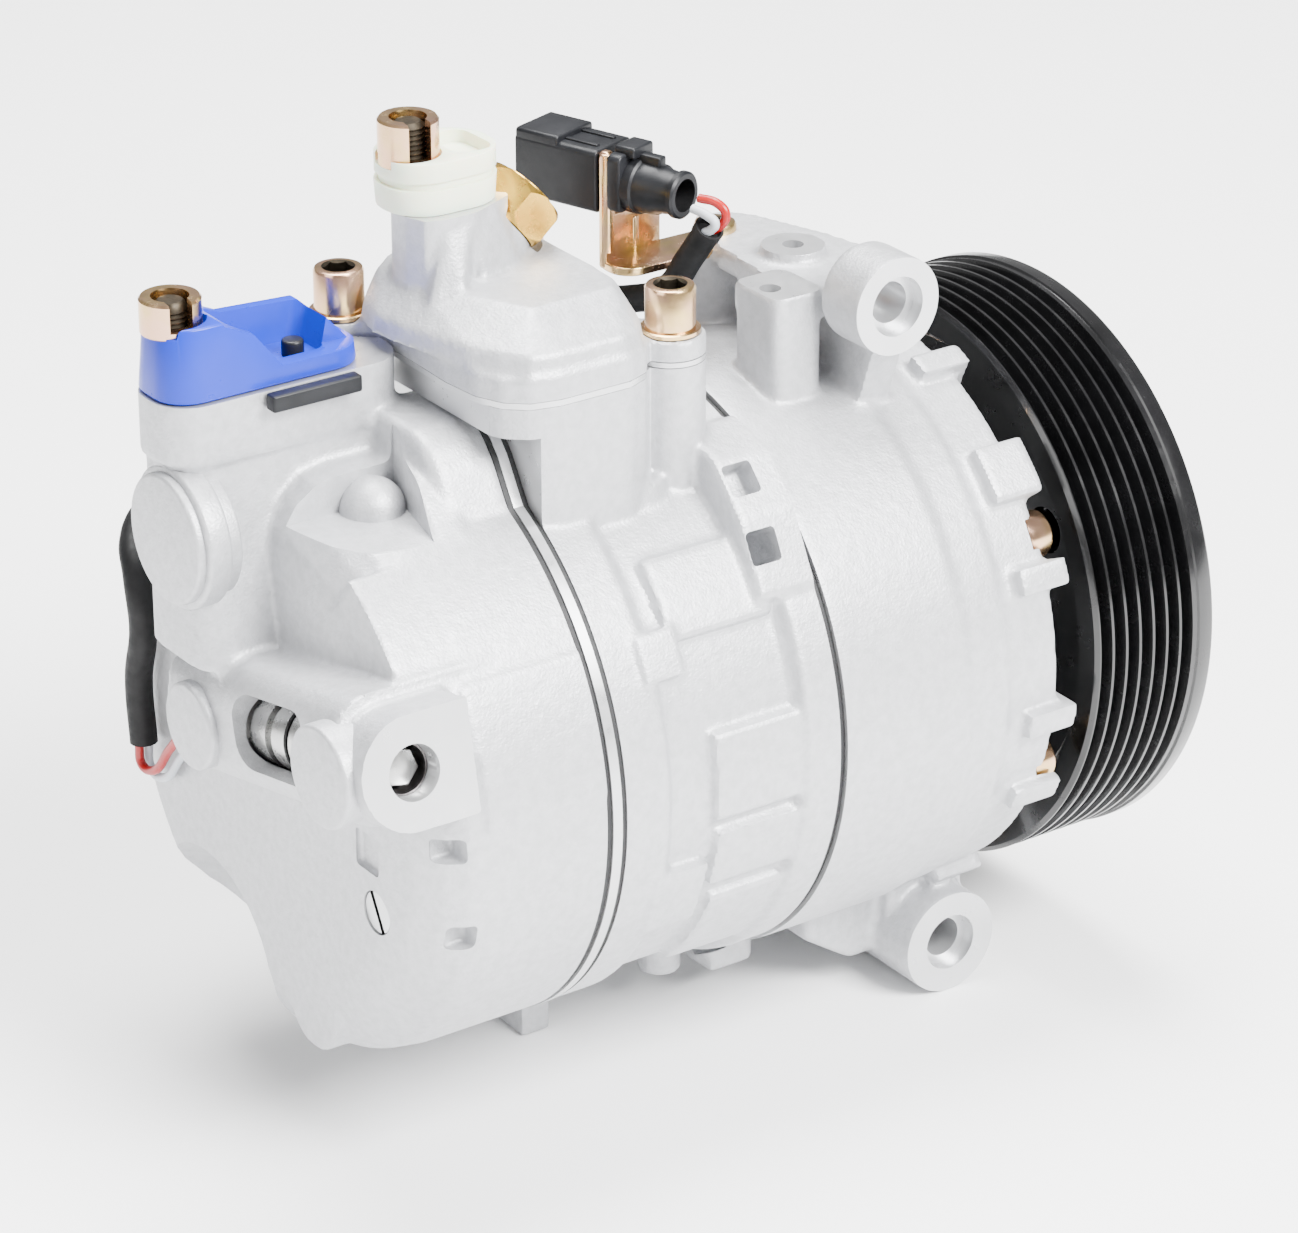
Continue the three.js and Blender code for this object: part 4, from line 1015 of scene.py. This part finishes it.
def threads(x0, x1, r, pitch=1.0, depth=0.45):
    """A screw's profile, as a row of ridges."""
    points = []
    x = x0
    while x + pitch <= x1:
        points += [(x, r - depth), (x + pitch * 0.45, r), (x + pitch * 0.6, r)]
        x += pitch
    return points + [(x1, r - depth)]


def cap_screw(shank_r, length, head_r, head_l, socket):
    """A socket screw along +X, with its head's underside at x = 0."""
    profile = [(-length, 0), (-length, shank_r - 0.5)] + threads(-length + 0.3, -2, shank_r) + [
        (-1.8, shank_r), (0, shank_r), (0, head_r - 0.3), (0.3, head_r), (head_l - 0.8, head_r),
        (head_l - 0.2, head_r - 0.3), (head_l, head_r - 0.8), (head_l, 0)]
    drive = prism(hexagon(socket), "X", head_l * 0.45, head_l + 1)
    mouth = bar_x(socket / 2 + 0.1, head_l - 0.5, head_l + 0.3, r2=socket / 2 + 0.9, sides=48)
    return lathe(profile, 64), [drive, mouth]


def fitted_screw(name, node, at, *sizes):
    """A plated screw in its place, with its socket cut."""
    body, drive = cap_screw(*sizes)
    # The socket's cut faces take the near-black finish, painted shade in the socket.
    piece(name, moved(body, at), "housing", "yellow_zinc", node,
          cuts=[moved(tool, at) for tool in drive], cut_finish="thread_and_recess_shade")


class COMPRESSOR_OT_screws(bpy.types.Operator):
    """Adds the through bolts, the cover screws, the bracket's screw and the rear plug"""
    bl_idname = "compressor.screws"
    bl_label = "Screws and plug"

    def execute(self, context):
        for i, angle in enumerate(BOLT_ANGLES):
            at = Matrix.Translation((BOLT_SEAT_X, *around(BOLT_PITCH_R, angle)))
            fitted_screw(f"long_bolt_{i + 1}", f"through_bolt_{i + 1}", at, 2.5, 126, 4.9, 5.6, 5)
        for i, (x, y, _) in enumerate(COVER_SCREWS):
            at = Matrix.Translation((x, y, SCREW_SEAT_Z)) @ UPRIGHT
            fitted_screw(f"cover_bolt_{i + 1}", f"cover_screw_{i + 1}", at,
                         3, 17 if x > 0 else 11, 5, 9.6, 5.5)
            washer = lathe([(0, 3.2), (0, 6), (0.7, 6), (0.9, 5.7), (0.9, 3.2)], 64, closed=True)
            piece(f"cover_washer_{i + 1}", moved(washer, at), "housing", "yellow_zinc")
        at = Matrix.Translation((*BRACKET_SCREW, 78.3)) @ UPRIGHT
        fitted_screw("clamp_screw", "bracket_screw", at, 2.3, 12, 4.4, 3.6, 4)
        at = Matrix.Translation((-39.7, *REAR_PLUG)) @ Matrix.Rotation(math.radians(-28), 4, "X")
        plug = moved(bar_x(4.35, 0, 6, soft=0.3), at)
        # The slot's cut faces take the dark steel finish as painted shade inside the aluminium
        # plug's slot.
        piece("slotted_plug", plug, "housing", "machined_aluminium", "rear_plug",
              cuts=[moved(slab((-1, 1.6), (-0.6, 0.6), (-6, 6)), at)], cut_finish="dark_steel")
        return {"FINISHED"}


def stud_nut(name, at, height, node):
    """A slotted round nut, with the stud's thread showing through its slot."""
    place = Matrix.Translation(at) @ UPRIGHT
    collar = lathe([(0, 3.5), (0, 5.7), (0.3, 6), (height - 0.5, 6), (height, 5.6), (height, 3.7)],
                   72, closed=True)
    slot = slab((1.6, height + 1), (-9, 0), (-2.3, 2.3))
    turn = Matrix.Rotation(math.radians(-8), 4, "X")
    piece(name, moved(collar, place), "housing", "yellow_zinc", node,
          cuts=[moved(slot, place @ turn)])
    stud = lathe([(-12, 0), (-12, 2.6), (-11.6, 2.9), (-1, 2.9)]
                 + threads(-0.9, height - 1.2, 3.3, 1.0, 0.5)
                 + [(height - 0.8, 2.4), (height - 0.8, 0)], 48)
    # The stud takes the near-black finish, painted shade, since it shows only inside the nut.
    obj = solid(name + "_stud", moved(stud, place), "thread_and_recess_shade")
    finished(obj, "housing", "dark_steel")


class COMPRESSOR_OT_ports(bpy.types.Operator):
    """Adds the two ports' blanking caps with their nuts and studs, and the relief valve"""
    bl_idname = "compressor.ports"
    bl_label = "Port caps and relief valve"

    def execute(self, context):
        # The discharge cap: a rim, a wall round the stud and a hollow open to the near corner.
        body = loft(rounded((-57.5, -14), (-1.2, 16.8), 7),
                    rounded((-56.4, -15.4), (-0.2, 15.8), 6.5), 79.3, 94)
        soften(body, 0.5, sharp_edges(body, 50))
        near = prism([(-43, 95.5), (-33.2, 83), (-10, 83), (-10, 95.5)], "Y", -6, 4.5)
        over = prism([(-47, 96), (-45, 93.2), (-38, 90), (-21, 89), (-15.6, 83), (-8, 83),
                      (-8, 96)],
                     "Y", -6, 20)
        hollow = loft(rounded((-41, -21.5), (2.6, 13.4), 3),
                      rounded((-43.5, -18.5), (1.0, 14.2), 3), 81.2, 95)
        round_the_nut = bar_z(6.8, 92, 96, *DISCHARGE_STUD)
        cap = solid("discharge_port_cap", body, "blue_plastic")
        stud_hole = bar_z(3.3, 78, 97, *DISCHARGE_STUD, sides=40)
        carved(cap, [near, over, hollow, round_the_nut, stud_hole])
        plug = bar_z(6.1, 73.3, 81, *DISCHARGE_PORT, soft=0.4)
        carved(cap, [plug], operation="UNION")
        edges_eased(cap, 0.45)
        finished(cap, "housing", "blue_plastic", "discharge_cap")
        clip = prism(rounded((-38, -18.2), (-5.4, -2.3), 0.6), "Z", 75.6, 78.9, 0.4)
        piece("cap_catch", clip, "housing", "black_plastic", "cap_clip")
        peg = bar_z(2.2, 80, 84.4, -26.5, 6.5, soft=0.5)
        piece("cap_peg", peg, "housing", "black_plastic")

        # The suction cap: a wide rim over a narrower skirt.
        skirt = loft(rounded((-4.7, 18.8), (-1.4, 16.4), 8.2),
                     rounded((-5, 19.1), (-1.7, 16.7), 8.4), 105.6, 110.6)
        lid = prism(rounded((-4.2, 18.4), (-0.9, 16), 8, 8), "Z", 110, 116)
        rim = prism(rounded((-4.8, 19), (-1.5, 16.6), 8.2, 8), "Z", 112.2, 116)
        cream = solid("suction_port_cap", skirt, "cream_plastic")
        carved(cream, [lid, rim, bar_z(6.1, 99.8, 108, *SUCTION_PORT)], operation="UNION")
        carved(cream, [prism(rounded((8.5, 17), (1, 14), 3), "Z", 113.4, 118),
                       bar_z(6.4, 114.2, 118, *SUCTION_STUD),
                       bar_z(3.3, 100, 118, *SUCTION_STUD, sides=40)])
        edges_eased(cream, 0.5)
        finished(cream, "housing", "cream_plastic", "suction_cap")

        stud_nut("discharge_stud_nut", (*DISCHARGE_STUD, 91.4), 7.2, "discharge_nut")
        stud_nut("suction_stud_nut", (*SUCTION_STUD, 113.9), 9.4, "suction_nut")

        # The relief valve: a hexagon with turned corners and a shallow crown.
        flats = prism(hexagon(16), "Z", 0.2, 8.4)
        hexed = solid("relief_valve_body", moved(flats, RELIEF), "brass")
        crown = lathe([(-1, 0), (-1, 6.6), (0.2, 8.1), (2.2, 9.6), (6.4, 9.6), (8.5, 8.0),
                       (8.5, 0)], 96)
        carved(hexed, [moved(crown, RELIEF @ UPRIGHT)], operation="INTERSECT")
        top = lathe([(8, 0), (8, 6.4), (9.0, 6.0), (9.2, 5.4), (8.8, 2.2), (8.4, 1.4), (8.4, 0)],
                    72)
        carved(hexed, [moved(top, RELIEF @ UPRIGHT), moved(bar_z(3.9, -8, 1, 0, 0), RELIEF)],
               operation="UNION")
        finished(hexed, "housing", "brass", "relief_valve")
        return {"FINISHED"}


class COMPRESSOR_OT_control_valve(bpy.types.Operator):
    """Adds the control valve that shows through the window and the port of its housing"""
    bl_idname = "compressor.control_valve"
    bl_label = "Control valve"

    def execute(self, context):
        along = VALVE @ Matrix.Rotation(math.radians(90), 4, "Z")
        profile = [(-13, 0), (-13, 5.6), (-12.2, 6.2), (-9, 6.6), (-8.4, 7.3), (-6, 7.3),
                   (-5.8, 6.5), (-4.8, 6.5),
                   (-4.6, 7.4), (0, 7.4), (0.2, 6.2), (2.2, 6.2), (2.4, 7.4), (8, 7.4), (8.2, 6.4),
                   (9.4, 6.4),
                   (9.6, 7.5), (20, 7.5), (20.2, 6.6), (22, 6.6), (22.2, 7.6), (36, 7.6), (36, 0)]
        valve = lathe(profile, 96)
        hexed = prism(hexagon(4.5), "X", -14, -10.5)
        # The socket's cut faces take the near-black finish, painted shade in the socket.
        piece("control_valve_body", moved(valve, along), "housing", "steel", "control_valve",
              cuts=[moved(hexed, along)], cut_finish="thread_and_recess_shade")
        tip = lathe([(-32, 0), (-32, 3.2), (-31.4, 4.2), (-27, 4.4), (-26.6, 3.4), (-25, 3.4),
                     (-24.6, 4.6), (-12.5, 4.6),
                     (-12.5, 0)], 72)
        # The hole's cut faces take the same near-black finish, painted shade in the hole.
        piece("control_valve_tip", moved(tip, along), "housing", "steel",
              cuts=[moved(bar_x(1.2, -34, -31), along)], cut_finish="thread_and_recess_shade")
        nose = prism(hexagon(7, 12), "X", -35, -29, 0.4)
        piece("control_valve_hexagon", moved(nose, along), "housing", "steel")
        lining = ring(-36, -14, 4.75, 5.1, 96)
        piece("control_valve_lining", moved(lining, along), "housing", "dark_steel")
        seal = ring(-5.7, -4.9, 6.4, 7.55, 96)
        piece("control_valve_seal", moved(seal, along), "housing", "black_rubber")
        return {"FINISHED"}


# ---------------------------------------------------------------- connector

def in_connector(bm):
    return moved(bm, CONNECTOR)


class COMPRESSOR_OT_connector(bpy.types.Operator):
    """Adds the two-pin connector, its plug and its plated bracket"""
    bl_idname = "compressor.connector"
    bl_label = "Connector and bracket"

    def execute(self, context):
        box = prism(rounded((-6.2, 6.2), (-6.6, 6.6), 1.4), "X", 5.4, 25.6, 0.35)
        shell = solid("connector_shell", in_connector(box), "black_plastic")
        hood = prism(rounded((-6.1, 6.1), (5, 7.8), 0.8), "X", 5.5, 16, 0.4)
        ribs = [slab((16, 24), (-3.4, -2.2), (6, 7), 0.2), slab((16, 24), (2.2, 3.4), (6, 7), 0.2)]
        carved(shell, [in_connector(hood)] + [in_connector(r) for r in ribs], operation="UNION")
        carved(shell, [in_connector(prism(rounded((-5, 5), (-5.3, 5.3), 1), "X", -2, 18))])
        finished(shell, "housing", "black_plastic", "connector_housing")
        for i, y in enumerate((-2.2, 2.2)):
            pin = in_connector(slab((11, 19), (y - 0.5, y + 0.5), (-1, 1), 0.2))
            piece(f"connector_pin_{i + 1}", pin, "housing", "brass")

        body = prism(rounded((-6, 6), (-5.6, 6.6), 1.6), "X", 28.2, 31.4, 0.5)
        plug = solid("plug_body", in_connector(body), "black_plastic")
        barrel = lathe([(30, 0), (30, 5.9), (33.4, 5.9), (33.8, 5.4), (37.6, 5.2), (38.4, 4.7),
                        (41.6, 4.3), (42, 4.9),
                        (43, 4.9), (43.4, 4.4), (43.4, 0)], 96)
        latch = prism(rounded((-3.4, 3.4), (5.6, 8.0), 0.7), "X", 28.4, 33.2, 0.4)
        neck = in_connector(slab((27.9, 28.4), (-4, 4), (-4, 5)))
        lower = Matrix.Translation((0, 0, -0.6))
        carved(plug, [in_connector(moved(barrel, lower)), in_connector(latch), neck,
                      in_connector(slab((31, 38), (-1.2, 1.2), (4, 6.4), 0.4))], operation="UNION")
        carved(plug, [in_connector(moved(bar_x(3.4, 38.6, 45), lower))], "black_rubber")
        finished(plug, "housing", "black_plastic", "connector_plug")

        # The bracket: an upright clamped round the connector, bent over at its foot.
        upright = prism([(-5.2, -18.3), (12.6, -18.3), (13.2, -17.6), (13.2, -11.4), (10.4, -8.8),
                         (4.6, -8.8), (3.6, -7.4),
                         (-2.2, -7.2), (-2.6, 5.4), (-3.3, 6.6), (-4.9, 6.6), (-5.6, 5.4),
                         (-5.6, -17.6)],
                        "X", 26.0, 27.8, 0.35)
        plate = solid("clamp_bracket", in_connector(upright), "yellow_zinc")
        foot = prism(rounded((54.5, 86.5), (12.6, 24), 5), "Z", 76.3, 78.1, 0.35)
        carved(plate, [foot], operation="UNION")
        roll = bar_z(1.5, -15, 6.2, 27, -4.2, sides=32, soft=0.4)
        fold = bar_z(1.2, -17.6, -9.6, 27, 4.6, sides=32, soft=0.3)
        carved(plate, [in_connector(roll), in_connector(fold)], operation="UNION")
        carved(plate, [bar_z(2.8, 70, 82, *BRACKET_SCREW, sides=48)])
        finished(plate, "housing", "yellow_zinc", "connector_bracket")

        # The open mouth of the sleeve, round the two leads.
        start, ahead = Vector(SLEEVE_ROUTE[0]), Vector(SLEEVE_ROUTE[0]) - Vector(SLEEVE_ROUTE[1])
        mouth = lathe([(-0.6, 2.2), (-0.6, 3.05), (1.5, 3.05), (1.5, 2.55), (0.2, 2.45)], 64,
                      closed=True)
        turn = ahead.to_track_quat("X", "Z").to_matrix().to_4x4()
        piece("sleeve_mouth", moved(mouth, Matrix.Translation(start) @ turn), "housing",
              "black_rubber")
        return {"FINISHED"}


# ---------------------------------------------------------------- the add-on

OPERATORS = (
    COMPRESSOR_OT_finishes,
    COMPRESSOR_OT_stage,
    COMPRESSOR_OT_leads,
    COMPRESSOR_OT_rear_head,
    COMPRESSOR_OT_cylinder_block,
    COMPRESSOR_OT_muffler_cover,
    COMPRESSOR_OT_front_housing,
    COMPRESSOR_OT_joints,
    COMPRESSOR_OT_pulley,
    COMPRESSOR_OT_screws,
    COMPRESSOR_OT_ports,
    COMPRESSOR_OT_control_valve,
    COMPRESSOR_OT_connector,
)


class COMPRESSOR_PT_pieces(bpy.types.Panel):
    """Lists the compressor's sizes, finishes and pieces"""
    bl_idname = "COMPRESSOR_PT_pieces"
    bl_label = "Compressor"
    bl_space_type = "VIEW_3D"
    bl_region_type = "UI"
    bl_category = "Compressor"

    def draw(self, context):
        for group in (context.scene.compressor_sizes, context.scene.compressor_finishes):
            column = self.layout.column()
            for key in group.bl_rna.properties.keys():
                if key not in ("rna_type", "name"):
                    column.prop(group, key)
        for operator in OPERATORS:
            self.layout.operator(operator.bl_idname)


CLASSES = (CompressorSizes, CompressorFinishes, *OPERATORS, COMPRESSOR_PT_pieces)


def register():
    for cls in CLASSES:
        bpy.utils.register_class(cls)
    bpy.types.Scene.compressor_sizes = bpy.props.PointerProperty(type=CompressorSizes)
    bpy.types.Scene.compressor_finishes = bpy.props.PointerProperty(type=CompressorFinishes)


def unregister():
    del bpy.types.Scene.compressor_finishes
    del bpy.types.Scene.compressor_sizes
    for cls in reversed(CLASSES):
        bpy.utils.unregister_class(cls)


def main():
    register()
    for operator in OPERATORS:
        group, name = operator.bl_idname.split(".")
        getattr(getattr(bpy.ops, group), name)()


if __name__ == "__main__":
    main()
